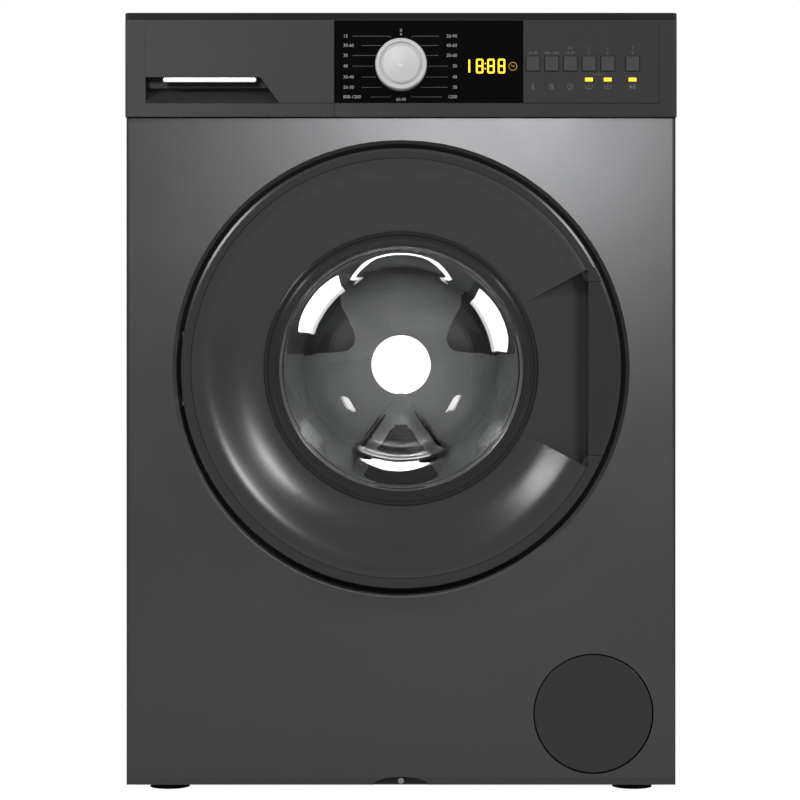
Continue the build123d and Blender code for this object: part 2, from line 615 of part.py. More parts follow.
def make_door_glass():
    """Thick pressed bowl. Its far end sits a little higher than its mouth, so the lower wall slopes."""
    outer = bowl([GLASS_SIDE, GLASS_HEEL, GLASS_FLAT], 0)
    hollow = bowl([HOLLOW_SIDE, HOLLOW_HEEL, HOLLOW_FLAT], GLASS_WALL)
    with BuildPart() as glass:
        add(outer)
        rod_y(0, DOOR_Z, 155, FRONT - 3.2, FRONT + 0.8)
        add(hollow, mode=Mode.SUBTRACT)
        rod_y(0, DOOR_Z, 128.5, FRONT - 4, FRONT - 3.1, mode=Mode.SUBTRACT)
    return glass.part


def make_door_inner_frame():
    """Rear ring of the door. It clamps the glass against the cover."""
    with BuildPart() as frame:
        turned([
            (RIM_RADIUS - 3.4, FRONT + 7), (RIM_RADIUS - 3.4, FRONT + 4),
            (160, FRONT + 4), (158, FRONT + 1.2),
            (137, FRONT + 1.2), (137, FRONT + 4.2), (156, FRONT + 4.6), (158, FRONT + 7),
        ])
        turned([
            (160, FRONT + 4), (160, FRONT - 3.6), (156, FRONT - 3.6), (156, FRONT + 1.2), (158, FRONT + 1.2),
        ])
        block(-260, -214, FRONT, DOOR_BACK + 1, DOOR_Z - 46, DOOR_Z + 46, mode=Mode.SUBTRACT)
        block(HOOK_X - 12, HOOK_X + 9, FRONT, FRONT + 9, DOOR_Z - 8, DOOR_Z + 8, mode=Mode.SUBTRACT)
    return frame.part


def make_door_hinge_bracket():
    """Fixed hinge plate behind the front sheet, with two arms through its slots."""
    back = FRONT + RECESS_DEPTH + SHEET + GAP
    with BuildPart() as bracket:
        block(HINGE_X - 5, -186, back, back + 3, DOOR_Z - 62, DOOR_Z + 62)
        for side in (-1, 1):
            z0, z1 = sorted((DOOR_Z + side * 28.5, DOOR_Z + side * 39.5))
            block(HINGE_X - 4.5, HINGE_X + 4.5, HINGE_Y, back + 1, z0, z1)
            rod_z(HINGE_X, HINGE_Y, 6, z0, z1)
            rod_z(HINGE_X, HINGE_Y, 3.06, z0 - 1, z1 + 1, mode=Mode.SUBTRACT)
    return bracket.part


def make_door_hinge_leaf():
    """Moving hinge leaf with its barrel, and the pin through it."""
    with BuildPart() as leaf:
        rod_z(HINGE_X, HINGE_Y, 6.4, DOOR_Z - 28, DOOR_Z + 28)
        block(HINGE_X, -193, HINGE_Y + 3.4, HINGE_Y + 6.4, DOOR_Z - 28, DOOR_Z + 28)
        block(-196, -193, HINGE_Y + 3.4, FRONT + 4, DOOR_Z - 28, DOOR_Z + 28)
        block(-208, -193, FRONT + 1, FRONT + 4, DOOR_Z - 28, DOOR_Z + 28)
        rod_z(HINGE_X, HINGE_Y, 3.02, DOOR_Z - 30, DOOR_Z + 30, mode=Mode.SUBTRACT)
    with BuildPart() as pin:
        rod_z(HINGE_X, HINGE_Y, 3, DOOR_Z - 42, DOOR_Z + 42)
        chamfer(pin.edges(), 0.6)
    with BuildPart() as both:
        add(leaf.part)
        add(pin.part)
    return both.part


def make_door_hook():
    """Latch hook on its pivot boss."""
    with BuildPart() as hook:
        rod_z(HOOK_X, HOOK_Y, 4.4, DOOR_Z - 9, DOOR_Z + 9)
        block(HOOK_X - 3, HOOK_X + 3, HOOK_Y, FRONT + 32, DOOR_Z - 5, DOOR_Z + 5)
        block(HOOK_X - 3, HOOK_X + 9, FRONT + 27, FRONT + 32, DOOR_Z - 5, DOOR_Z + 5)
    return hook.part


def make_door_lock():
    """Lock housing behind the front sheet, with the slot that takes the hook."""
    y0 = FRONT + RECESS_DEPTH + SHEET + GAP
    with BuildPart() as lock:
        block(HOOK_X - 18, HOOK_X + 20, y0, y0 + 34, DOOR_Z - 42, DOOR_Z + 42)
        fillet(lock.edges().filter_by(Axis.Y), 3)
        block(HOOK_X - 14, HOOK_X + 17, y0 + 7, y0 + 30, DOOR_Z - 9, DOOR_Z + 9, mode=Mode.SUBTRACT)
        block(HOOK_X - 13, HOOK_X + 15, y0 - 1, y0 + 8, DOOR_Z - 7, DOOR_Z + 7, mode=Mode.SUBTRACT)
    return lock.part


def make_door_gasket():
    """Rubber bellows between the front sheet and the tub, with a lip towards the glass."""
    f = FRONT
    ridge = [(MOUTH_RADIUS - 3.2, f + 9), (MOUTH_RADIUS - 3.2, f + 18), (170, f + 19), (172, f + 24),
             (154, f + 29), (152, f + 34), (171, f + 40), (172, f + 45), (TUB_MOUTH + 9.5, TUB_FRONT - 2)]
    lip = [(MOUTH_RADIUS - 3.2, f + 17), (140, f + 19), (131, f + 25)]
    with BuildPart() as gasket:
        with BuildSketch(DOOR_PLANE) as section:
            for path in (ridge, lip):
                with BuildLine() as line:
                    Polyline(*path)
                trace(line.line, line_width=2.6)
        revolve(section.sketch, axis=DOOR_AXIS)
    return gasket.part


# ---------------------------------------------------------------- tub group


def make_tub_front():
    """Front half of the plastic tub, with its neck."""
    outer, inner = TUB_RADIUS, TUB_RADIUS - TUB_WALL
    with BuildPart() as tub:
        turned([
            (TUB_MOUTH, TUB_FRONT - 13), (TUB_MOUTH + 5, TUB_FRONT - 13), (TUB_MOUTH + 5, TUB_FRONT),
            (outer - 8, TUB_FRONT), (outer, TUB_FRONT + 8),
            (outer, TUB_SPLIT - 8), (outer + 6, TUB_SPLIT - 8),
            (outer + 6, TUB_SPLIT), (inner, TUB_SPLIT), (inner, TUB_FRONT + 9), (inner - 4, TUB_FRONT + 5),
            (TUB_MOUTH, TUB_FRONT + 5),
        ])
    return tub.part


def make_tub_rear():
    """Rear half of the tub: ribs, bearing housing, sump, spring lugs and damper seats."""
    outer, inner = TUB_RADIUS, TUB_RADIUS - TUB_WALL
    with BuildPart() as tub:
        turned([
            (inner, TUB_SPLIT), (outer + 6, TUB_SPLIT), (outer + 6, TUB_SPLIT + 8), (outer, TUB_SPLIT + 8),
            (outer, TUB_BACK - 6), (outer - 6, TUB_BACK), (0, TUB_BACK), (0, TUB_BACK - 8),
            (inner, TUB_BACK - 8),
        ])
        for step in range(12):
            with BuildSketch(Plane.XZ.offset(-TUB_BACK)):
                with BuildLine():
                    Polyline(polar(40, step * 30 - 4),
                             polar(250, step * 30 - 0.7), polar(250, step * 30 + 0.7),
                             polar(40, step * 30 + 4), close=True)
                make_face()
            extrude(amount=-10)
        rod_y(0, DOOR_Z, 46, 162, 214)
        # sump under the drum, open to the inside
        block(-70, 70, -10, TUB_BACK, DOOR_Z - 274, DOOR_Z - 240)
        for x in (-SPRING_X, SPRING_X):
            block(x - 14, x + 14, SPRING_Y - 8, SPRING_Y + 8, DOOR_Z + 90, SPRING_LOW - 6)
        for x in (-DAMPER_X, DAMPER_X):
            block(x - 12, x + 12, DAMPER_Y - 12, DAMPER_Y + 12, 236, 270)
        for x in (MOTOR_X - 45, MOTOR_X + 45):
            block(x - 8, x + 8, 80, 170, MOTOR_Z + 58, 262)
        rod_z(FILL_X, FILL_Y, 15, DOOR_Z + 150, DOOR_Z + 230)
        rod_y(0, DOOR_Z, inner, TUB_SPLIT - 1, TUB_BACK - 24, mode=Mode.SUBTRACT)
        turned([(46, 161), (inner, 161), (inner, TUB_BACK - 8), (46, TUB_BACK - 8)], mode=Mode.SUBTRACT)
        block(-66, 66, -6, TUB_BACK - 8, DOOR_Z - 270, DOOR_Z - 230, mode=Mode.SUBTRACT)
        rod_z(FILL_X, FILL_Y, 12, DOOR_Z + 140, DOOR_Z + 235, mode=Mode.SUBTRACT)
        # sump outlet, heater opening and bearing bores
        rod_z(40, 20, 17, DOOR_Z - 292, DOOR_Z - 272)
        rod_z(40, 20, 14, DOOR_Z - 295, DOOR_Z - 265, mode=Mode.SUBTRACT)
        block(-30, 30, TUB_BACK - 9, TUB_BACK + 1, DOOR_Z - 262, DOOR_Z - 250, mode=Mode.SUBTRACT)
        rod_y(0, DOOR_Z, 31, 161, 182.2, mode=Mode.SUBTRACT)
        rod_y(0, DOOR_Z, 22, 160, 215, mode=Mode.SUBTRACT)
        rod_y(0, DOOR_Z, 26, 195.8, 215, mode=Mode.SUBTRACT)
    return tub.part


def make_main_bearings():
    """Two ball bearings, as plain rings, and the shaft seal in front of them."""
    with BuildPart() as rings:
        sizes = [(166.2, 182.2, 15.05, 31), (195.8, 210.8, 12.55, 26), (162, 166, 15.4, 31)]
        for y0, y1, inner, outer in sizes:
            rod_y(0, DOOR_Z, outer, y0, y1)
            rod_y(0, DOOR_Z, inner, y0 - 1, y1 + 1, mode=Mode.SUBTRACT)
    return rings.part


def make_counterweights():
    """Cast blocks: two crescents on the tub's front and one on its top."""
    y0, y1 = TUB_FRONT - 34, TUB_FRONT - GAP
    with BuildPart() as blocks:
        for start, end in ((42, 138), (222, 318)):
            with BuildSketch(Plane.XZ.offset(-y0)):
                with BuildLine():
                    CenterArc((0, DOOR_Z), 244, start, end - start)
                    CenterArc((0, DOOR_Z), 182, start, end - start)
                    Line(polar(182, start), polar(244, start))
                    Line(polar(182, end), polar(244, end))
                make_face()
            extrude(amount=-(y1 - y0))
        block(-60, 170, -8, 140, DOOR_Z + 205, DOOR_Z + 292)
        rod_y(0, DOOR_Z, TUB_RADIUS + 0.4, -12, 145, mode=Mode.SUBTRACT)
    return blocks.part


def make_drive_motor():
    """Motor under the tub, with cooling fins and mounting ears."""
    with BuildPart() as motor:
        rod_y(MOTOR_X, MOTOR_Z, 58, 70, 178)
        rod_y(MOTOR_X, MOTOR_Z, 48, 60, 192)
        for step in range(5):
            rod_y(MOTOR_X, MOTOR_Z, 61, 82 + step * 20, 88 + step * 20)
        for x in (MOTOR_X - 45, MOTOR_X + 45):
            block(x - 8, x + 8, 84, 166, MOTOR_Z, MOTOR_Z + 57.8)
        rod_y(MOTOR_X, MOTOR_Z, 6.2, 150, 193, mode=Mode.SUBTRACT)
    return motor.part


def make_motor_pulley():
    """Grooved motor pulley on the end of the rotor shaft."""
    with BuildPart() as pulley:
        rod_y(MOTOR_X, MOTOR_Z, 6, 152, 240)
        rod_y(MOTOR_X, MOTOR_Z, MOTOR_PULLEY_RADIUS, PULLEY_Y - 9, PULLEY_Y + 9)
        for y in (PULLEY_Y - 10.5, PULLEY_Y + 9):
            rod_y(MOTOR_X, MOTOR_Z, MOTOR_PULLEY_RADIUS + 1, y, y + 1.5)
    return pulley.part


def make_drive_belt():
    """Flat ribbed belt round both pulleys."""
    with BuildPart() as belt:
        for grow, mode in ((2.6, Mode.ADD), (0.1, Mode.SUBTRACT)):
            with BuildSketch(Plane.XZ.offset(-(PULLEY_Y - 7))):
                with Locations((0, DOOR_Z)):
                    Circle(PULLEY_RADIUS + grow)
                with Locations((MOTOR_X, MOTOR_Z)):
                    Circle(MOTOR_PULLEY_RADIUS + grow)
                make_hull()
            extrude(amount=-14, mode=mode)
    return belt.part


def make_heater():
    """Looped heating element and its flange."""
    z = DOOR_Z - 256
    with BuildPart() as heater:
        for x in (-22, 22):
            rod_y(x, z, 4, 30, TUB_BACK + 2)
        with BuildSketch(Plane(origin=(22, 30, z), x_dir=(1, 0, 0), z_dir=(0, 1, 0))):
            Circle(4)
        revolve(axis=Axis((0, 30, z), (0, 0, 1)), revolution_arc=-180)
        block(-34, 34, TUB_BACK + GAP, TUB_BACK + 5, z - 12, z + 5.5)
        for x in (-22, 0, 22):
            rod_y(x, z, 3, TUB_BACK + 4, TUB_BACK + 16)
    return heater.part


def make_damper_cylinders():
    """Lower halves of the two dampers, standing on the base."""
    with BuildPart() as cylinders:
        for x in (-DAMPER_X, DAMPER_X):
            rod_z(x, DAMPER_Y, 15, BASE_TOP + 12, 172)
            rod_z(x, DAMPER_Y, 10, BASE_TOP + 20, 173, mode=Mode.SUBTRACT)
    return cylinders.part


def make_damper_rods():
    """Upper halves of the two dampers, hanging from the tub."""
    with BuildPart() as rods:
        for x in (-DAMPER_X, DAMPER_X):
            rod_z(x, DAMPER_Y, 9.6, 100, 226)
            block(x - 11, x + 11, DAMPER_Y - 11, DAMPER_Y + 11, 224, 236)
    return rods.part


COIL_RADIUS, COIL_WIRE, COIL_PITCH = 13.0, 2.2, 9.2


def spring_coil(x, low, high):
    """The open turns of one suspension spring."""
    with BuildPart() as coil:
        with BuildLine() as turns:
            Helix(pitch=COIL_PITCH, height=high - low, radius=COIL_RADIUS, center=(x, SPRING_Y, low))
        with BuildSketch(Plane(origin=turns.line @ 0, z_dir=turns.line % 0)):
            Circle(COIL_WIRE)
        sweep(path=turns.line, is_frenet=True)
    return coil.part


def make_suspension_springs():
    """Two extension springs with closed end caps."""
    low, high = SPRING_LOW + 10, SPRING_HIGH - 12
    coils = [spring_coil(x, low, high) for x in (-SPRING_X, SPRING_X)]
    with BuildPart() as springs:
        for x, coil in zip((-SPRING_X, SPRING_X), coils):
            add(coil)
            rod_z(x, SPRING_Y, COIL_RADIUS + 3, low - 10, low + 3)
            rod_z(x, SPRING_Y, COIL_RADIUS + 3, high - 3, high + 8)
            rod_z(x, SPRING_Y, 3.5, SPRING_LOW - 6, low)
            rod_z(x, SPRING_Y, 3.5, high, SPRING_HIGH)
    return springs.part


# ---------------------------------------------------------------- drum group


def make_drum_shell():
    """Drum sheet: rolled wall, front ring with a curled lip and a pressed back."""
    r, t = DRUM_RADIUS, DRUM_SHEET
    with BuildPart() as drum:
        turned([
            (DRUM_MOUTH, DRUM_FRONT + 6), (DRUM_MOUTH, DRUM_FRONT - 1), (DRUM_MOUTH + 4, DRUM_FRONT - 3),
            (r - 4, DRUM_FRONT - 3), (r, DRUM_FRONT + 1), (r, DRUM_BACK), (0, DRUM_BACK), (0, DRUM_BACK - t),
            (r - t, DRUM_BACK - t), (r - t, DRUM_FRONT + 1.6), (r - 4.6, DRUM_FRONT - 3 + t),
            (DRUM_MOUTH + 4.6, DRUM_FRONT - 3 + t),
            (DRUM_MOUTH + t, DRUM_FRONT), (DRUM_MOUTH + t, DRUM_FRONT + 6),
        ])
        # three sunk fields between the spider's arms
        for step in range(3):
            angle = 30 + 120 * step
            with BuildSketch(Plane.XZ.offset(-(DRUM_BACK - t - 6))):
                with BuildLine():
                    Polyline(polar(58, angle), polar(190, angle - 24),
                             polar(205, angle), polar(190, angle + 24), close=True)
                make_face()
                fillet(vertices(), 16)
            extrude(amount=-6.5)
    return drum.part


def make_drum_lifters():
    """Three paddles inside the drum."""
    with BuildPart() as lifters:
        for step in range(3):
            angle = 30 + 120 * step
            foot = DRUM_RADIUS - DRUM_SHEET - 1
            outward = (cos(radians(angle)), 0, sin(radians(angle)))
            plane = Plane(origin=(0, DRUM_FRONT + 20, DOOR_Z), x_dir=outward, z_dir=(0, 1, 0))
            with BuildSketch(plane):
                with BuildLine():
                    Polyline((foot - 4.5, -38), (foot - 30, -20), (foot - 58, -9), (foot - 62, 0),
                             (foot - 58, 9), (foot - 30, 20), (foot - 4.5, 38), close=True)
                make_face()
            extrude(amount=255)
        fillet(lifters.edges().group_by(Axis.Y)[0], 3)
    return lifters.part


def make_drum_spider():
    """Cast three-arm spider with the drum shaft."""
    front, back = DRUM_BACK + 0.4, 160.0
    with BuildPart() as spider:
        rod_y(0, DOOR_Z, 36, front, back)
        for step in range(3):
            angle = 90 + 120 * step
            with BuildSketch(Plane.XZ.offset(-front)):
                with BuildLine():
                    Polyline(polar(38, angle - 32), polar(226, angle - 4), polar(226, angle + 4),
                             polar(38, angle + 32), close=True)
                make_face()
            extrude(amount=-14)
        rod_y(0, DOOR_Z, 15, back - 2, 184)
        rod_y(0, DOOR_Z, 12.5, 182, 232)
    return spider.part


def make_drum_pulley():
    """Spoked drum pulley on the end of the shaft."""
    with BuildPart() as pulley:
        rod_y(0, DOOR_Z, PULLEY_RADIUS, PULLEY_Y - 9, PULLEY_Y + 9)
        rod_y(0, DOOR_Z, PULLEY_RADIUS - 7, PULLEY_Y - 10, PULLEY_Y + 10, mode=Mode.SUBTRACT)
        rod_y(0, DOOR_Z, 26, PULLEY_Y - 7, PULLEY_Y + 9)
        for step in range(6):
            angle = 60 * step
            with BuildSketch(Plane.XZ.offset(-(PULLEY_Y - 3))):
                with BuildLine():
                    Polyline(polar(22, angle - 24), polar(145, angle - 4), polar(145, angle + 4),
                             polar(22, angle + 24), close=True)
                make_face()
            extrude(amount=-6)
        rod_y(0, DOOR_Z, 12.52, PULLEY_Y - 10, PULLEY_Y + 10, mode=Mode.SUBTRACT)
        rod_y(0, DOOR_Z, 14, 232.2, 238)
    return pulley.part


# ---------------------------------------------------------------- water path


def make_water_inlet_valve():
    """Solenoid inlet valve with its threaded connector through the rear sheet."""
    with BuildPart() as valve:
        block(INLET_X - 22, INLET_X + 22, REAR - 62, REAR - SHEET - GAP, INLET_Z - 19, INLET_Z + 19)
        fillet(valve.edges().filter_by(Axis.Y), 3)
        rod_z(INLET_X, REAR - 40, 14, INLET_Z - 45, INLET_Z - 17)
        rod_y(INLET_X, INLET_Z, 11.6, REAR - 2, REAR + 1)
        rod_y(INLET_X, INLET_Z, 19, REAR + GAP, REAR + 2)
        rod_y(INLET_X, INLET_Z, 13.2, REAR + 2, DEEPEST)
        rod_y(INLET_X, INLET_Z, 8.5, REAR - 10, DEEPEST + 1, mode=Mode.SUBTRACT)
        rod_y(INLET_X, INLET_Z + 6, 8, REAR - 84, REAR - 61)
    return valve.part


def make_cabinet_hoses():
    """Fill hose to the dispenser, and drain hose to its outlet in the rear sheet."""
    z = INLET_Z + 6
    fill = hose([(INLET_X, REAR - 70, z), (INLET_X, 150, z),
                 (80, 110, 790), (-60, 100, 795), (-150, 90, 795),
                 (-150, FRONT + 281, 795)], [24, 40, 60, 30], 11, 9.1)
    drain = hose([(DRAIN_X, -78, 92), (DRAIN_X, 60, 92), (DRAIN_X, 190, 140), (DRAIN_X, 225, 300),
                  (DRAIN_X, 225, DRAIN_Z - 60), (DRAIN_X, 238, DRAIN_Z), (DRAIN_X, REAR - 2, DRAIN_Z)],
                 [70, 70, 120, 60, 12], 11, 8)
    with BuildPart() as both:
        add(fill)
        add(drain)
        rod_y(DRAIN_X, DRAIN_Z, 11, REAR - 4, REAR + 1)
        rod_y(DRAIN_X, DRAIN_Z, 16, REAR + GAP, REAR + 2)
        rod_y(DRAIN_X, DRAIN_Z, 10, REAR + 2, REAR + 14)
        rod_y(DRAIN_X, DRAIN_Z, 7, REAR - 6, REAR + 15, mode=Mode.SUBTRACT)
    return both.part


def make_tub_hoses():
    """Sump hose to the pump, and the short fill hose from the dispenser."""
    sump_route = [(40, 20, DOOR_Z - 276), (40, 20, 125), (80, -160, 105), (166, -160, 105)]
    sump = hose(sump_route, [40, 40], 20, 17.3)
    with BuildPart() as both:
        add(sump)
        rod_z(FILL_X, FILL_Y, 18, DOOR_Z + 212, 737)
        for step in range(5):
            rod_z(FILL_X, FILL_Y, 20, 682 + step * 10, 686 + step * 10)
        rod_z(FILL_X, FILL_Y, 15.3, DOOR_Z + 200, 740, mode=Mode.SUBTRACT)
    return both.part


def make_drain_pump():
    """Pump and filter housing, with the round service bay behind the front cover."""
    bay = FRONT + 21.5
    x, z = FILTER_X, FILTER_Z
    with BuildPart() as pump:
        rod_y(x, z, 64, bay, bay + 3)
        rod_y(x, z, 36, bay, FRONT + 128)
        rod_y(x, z, 44, FRONT + 120, FRONT + 168)
        rod_y(x, z, 30.4, FRONT - 1, FRONT + 122, mode=Mode.SUBTRACT)
        # sockets for the legs of the front cover
        for leg_x, leg_z in clip_points():
            rod_y(leg_x, leg_z, 5.5, FRONT + 12, bay + 1)
            rod_y(leg_x, leg_z, 3.08, FRONT + 11, bay + 4, mode=Mode.SUBTRACT)
        rod_y(DRAIN_X, 92, 7.6, FRONT + 150, FRONT + 180)
        with Locations(Location((x - 46, -160, 105), (0, 90, 0))):
            Cylinder(17, 32)
        block(x + 30, DRAIN_X, FRONT + 140, FRONT + 164, 84, 100)
        # feet on the base
        block(x - 25, x + 40, FRONT + 126, FRONT + 162, BASE_BOTTOM + 3, z)
        rod_y(x, z, 30.4, FRONT + 60, FRONT + 122, mode=Mode.SUBTRACT)
    return pump.part


def make_pump_filter():
    """Screw-in lint filter: grip, plug and basket."""
    x, z = FILTER_X, FILTER_Z
    with BuildPart() as plug:
        rod_y(x, z, 34, FRONT + 17, FRONT + 21.3)
        rod_y(x, z, 29.9, FRONT + 21, FRONT + 40)
        rod_y(x, z, 26, FRONT + 40, FRONT + 112)
        rod_y(x, z, 23.5, FRONT + 44, FRONT + 113, mode=Mode.SUBTRACT)
        for step in range(6):
            with Locations(Location((x, FRONT + 80, z), (0, step * 30, 0))):
                Box(60, 44, 6, mode=Mode.SUBTRACT)
        block(x - 27, x + 27, FRONT + 8, FRONT + 18, z - 4, z + 4)
    return plug.part


def clip_points():
    """Centres of the service cover's three legs."""
    return [
        (FILTER_X + CLIP_RADIUS * cos(radians(angle)), FILTER_Z + CLIP_RADIUS * sin(radians(angle)))
        for angle in (30, 150, 270)
    ]


def make_filter_cover():
    """Round service cover that pulls off on three legs."""
    with BuildPart() as cover:
        rod_y(FILTER_X, FILTER_Z, FILTER_COVER_RADIUS, FRONT, FRONT + 2.5)
        fillet(cover.edges().filter_by(GeomType.CIRCLE).group_by(Axis.Y)[0], 0.8)
        for leg_x, leg_z in clip_points():
            rod_y(leg_x, leg_z, 3, FRONT + 2, FRONT + 20)
    return cover.part


# ---------------------------------------------------------------- feet and fasteners


def make_foot(x, y):
    """Levelling foot: round pad on a threaded stud."""
    with BuildPart() as foot:
        with Locations((x, y, 4.5)):
            Cone(22, 17, 9)
        rod_z(x, y, 5, 8, 46)
        chamfer(foot.edges().group_by(Axis.Z)[-1], 1)
    return foot.part


def make_rear_grommets():
    """Four transit hole plugs and the mains lead gland."""
    with BuildPart() as plugs:
        for x, z in transit_points():
            rod_y(x, z, 12.9, REAR - 6, REAR + 1)
            rod_y(x, z, 19, REAR + GAP, REAR + 3)
        rod_y(-220, 770, 9.9, REAR - 6, REAR + 1)
        rod_y(-220, 770, 13, REAR + GAP, REAR + 3)
        rod_y(-220, 770, 8, REAR + 3, REAR + 12)
        rod_y(-220, 770, 4, REAR - 7, REAR + 13, mode=Mode.SUBTRACT)
    return plugs.part


def rear_screw_points():
    """Screw centres on the rear sheet and its cover."""
    edge = [(side * 289, z) for side in (-1, 1) for z in (60, 300, 540, 790)]
    top, bottom = DOOR_Z - 20 + 204, DOOR_Z - 20 - 204
    cover = [(x, z) for x in (-90, 90) for z in (top, bottom)]
    return edge, cover


def make_cabinet_fasteners():
    """Rear screws, the screw in the front notch and the foot locknuts."""
    edge, cover = rear_screw_points()
    with BuildPart() as fasteners:
        for x, z in edge:
            rod_y(x, z, 4.2, REAR + 0.05, REAR + 2.6)
        for x, z in cover:
            rod_y(x, z, 4.2, REAR + 1.7, REAR + 4.2)
        rod_y(0, 12.6, 3.2, FRONT + 3.2, FRONT + 5.3)
        rod_y(0, 12.6, 2.1, FRONT + 5.2, FRONT + 16)
        for x, y in FEET.values():
            with BuildSketch(Plane.XY.offset(9.4)):
                with Locations((x, y)):
                    RegularPolygon(9.6, 6)
                    Circle(5.15, mode=Mode.SUBTRACT)
            extrude(amount=6.4)
    return fasteners.part


# ---------------------------------------------------------------- output

MAKERS = {
    "front_panel": make_front_panel,
    "side_panel_left": lambda: make_side_panel(-1),
    "side_panel_right": lambda: make_side_panel(1),
    "rear_panel": make_rear_panel,
    "rear_cover": make_rear_cover,
    "base_frame": make_base_frame,
    "worktop_board": make_worktop_board,
    "worktop_trim": make_worktop_trim,
    "top_crossbars": make_top_crossbars,
    "control_fascia": make_control_fascia,
    "display_panel": make_display_panel,
    "led_lenses": make_led_lenses,
    "program_knob": make_program_knob,
    "drawer_front": make_drawer_front,
    "drawer_tray": make_drawer_tray,
    "dispenser_housing": make_dispenser_housing,
    "door_cover": make_door_cover,
    "door_rim": make_door_rim,
    "door_handle": make_door_handle,
    "door_bezel": make_door_bezel,
    "door_glass": make_door_glass,
    "door_inner_frame": make_door_inner_frame,
    "door_hinge_bracket": make_door_hinge_bracket,
    "door_hinge_leaf": make_door_hinge_leaf,
    "door_hook": make_door_hook,
    "door_lock": make_door_lock,
    "door_gasket": make_door_gasket,
    "tub_front": make_tub_front,
    "tub_rear": make_tub_rear,
    "main_bearings": make_main_bearings,
    "counterweights": make_counterweights,
    "drive_motor": make_drive_motor,
    "motor_pulley": make_motor_pulley,
    "drive_belt": make_drive_belt,
    "heater": make_heater,
    "damper_cylinders": make_damper_cylinders,
    "damper_rods": make_damper_rods,
    "suspension_springs": make_suspension_springs,
    "drum_shell": make_drum_shell,
    "drum_lifters": make_drum_lifters,
    "drum_spider": make_drum_spider,
    "drum_pulley": make_drum_pulley,
    "water_inlet_valve": make_water_inlet_valve,
    "cabinet_hoses": make_cabinet_hoses,
    "tub_hoses": make_tub_hoses,
    "drain_pump": make_drain_pump,
    "pump_filter": make_pump_filter,
    "filter_cover": make_filter_cover,
    "rear_grommets": make_rear_grommets,
    "cabinet_fasteners": make_cabinet_fasteners,
}

os.makedirs("parts", exist_ok=True)
for part_name, maker in MAKERS.items():
    save(maker(), part_name)
for number, button_x in enumerate(BUTTON_XS, start=1):
    save(make_button(button_x), f"button_{number}")
for foot_name, (foot_x, foot_y) in FEET.items():
    save(make_foot(foot_x, foot_y), foot_name)
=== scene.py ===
import math

import bmesh
import bpy
from mathutils import Matrix, Vector


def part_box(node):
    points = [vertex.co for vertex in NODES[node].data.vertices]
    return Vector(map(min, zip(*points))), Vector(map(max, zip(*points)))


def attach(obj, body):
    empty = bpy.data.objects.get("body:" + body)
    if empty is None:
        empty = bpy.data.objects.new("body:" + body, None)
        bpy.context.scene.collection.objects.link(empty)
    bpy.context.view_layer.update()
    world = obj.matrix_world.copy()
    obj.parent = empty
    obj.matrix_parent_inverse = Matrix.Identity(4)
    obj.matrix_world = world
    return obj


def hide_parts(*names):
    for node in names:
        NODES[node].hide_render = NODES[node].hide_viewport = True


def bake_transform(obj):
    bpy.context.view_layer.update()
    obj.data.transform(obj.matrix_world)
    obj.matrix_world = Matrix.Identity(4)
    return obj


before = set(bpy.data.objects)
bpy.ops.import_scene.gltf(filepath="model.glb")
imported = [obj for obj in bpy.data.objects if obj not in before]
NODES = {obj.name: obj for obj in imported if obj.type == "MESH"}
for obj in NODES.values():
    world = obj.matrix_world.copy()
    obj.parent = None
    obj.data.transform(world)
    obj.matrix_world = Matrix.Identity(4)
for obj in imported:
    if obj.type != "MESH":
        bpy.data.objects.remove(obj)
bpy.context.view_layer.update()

# ------------------------------------------------------------------ places, in metres


def middle(name):
    lo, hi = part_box(name)
    return (lo + hi) / 2


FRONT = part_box("front_panel")[0].y
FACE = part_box("display_panel")[0].y
DOOR_Z = middle("door_rim").z
DRUM_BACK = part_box("drum_shell")[1].y


# ------------------------------------------------------------------ materials


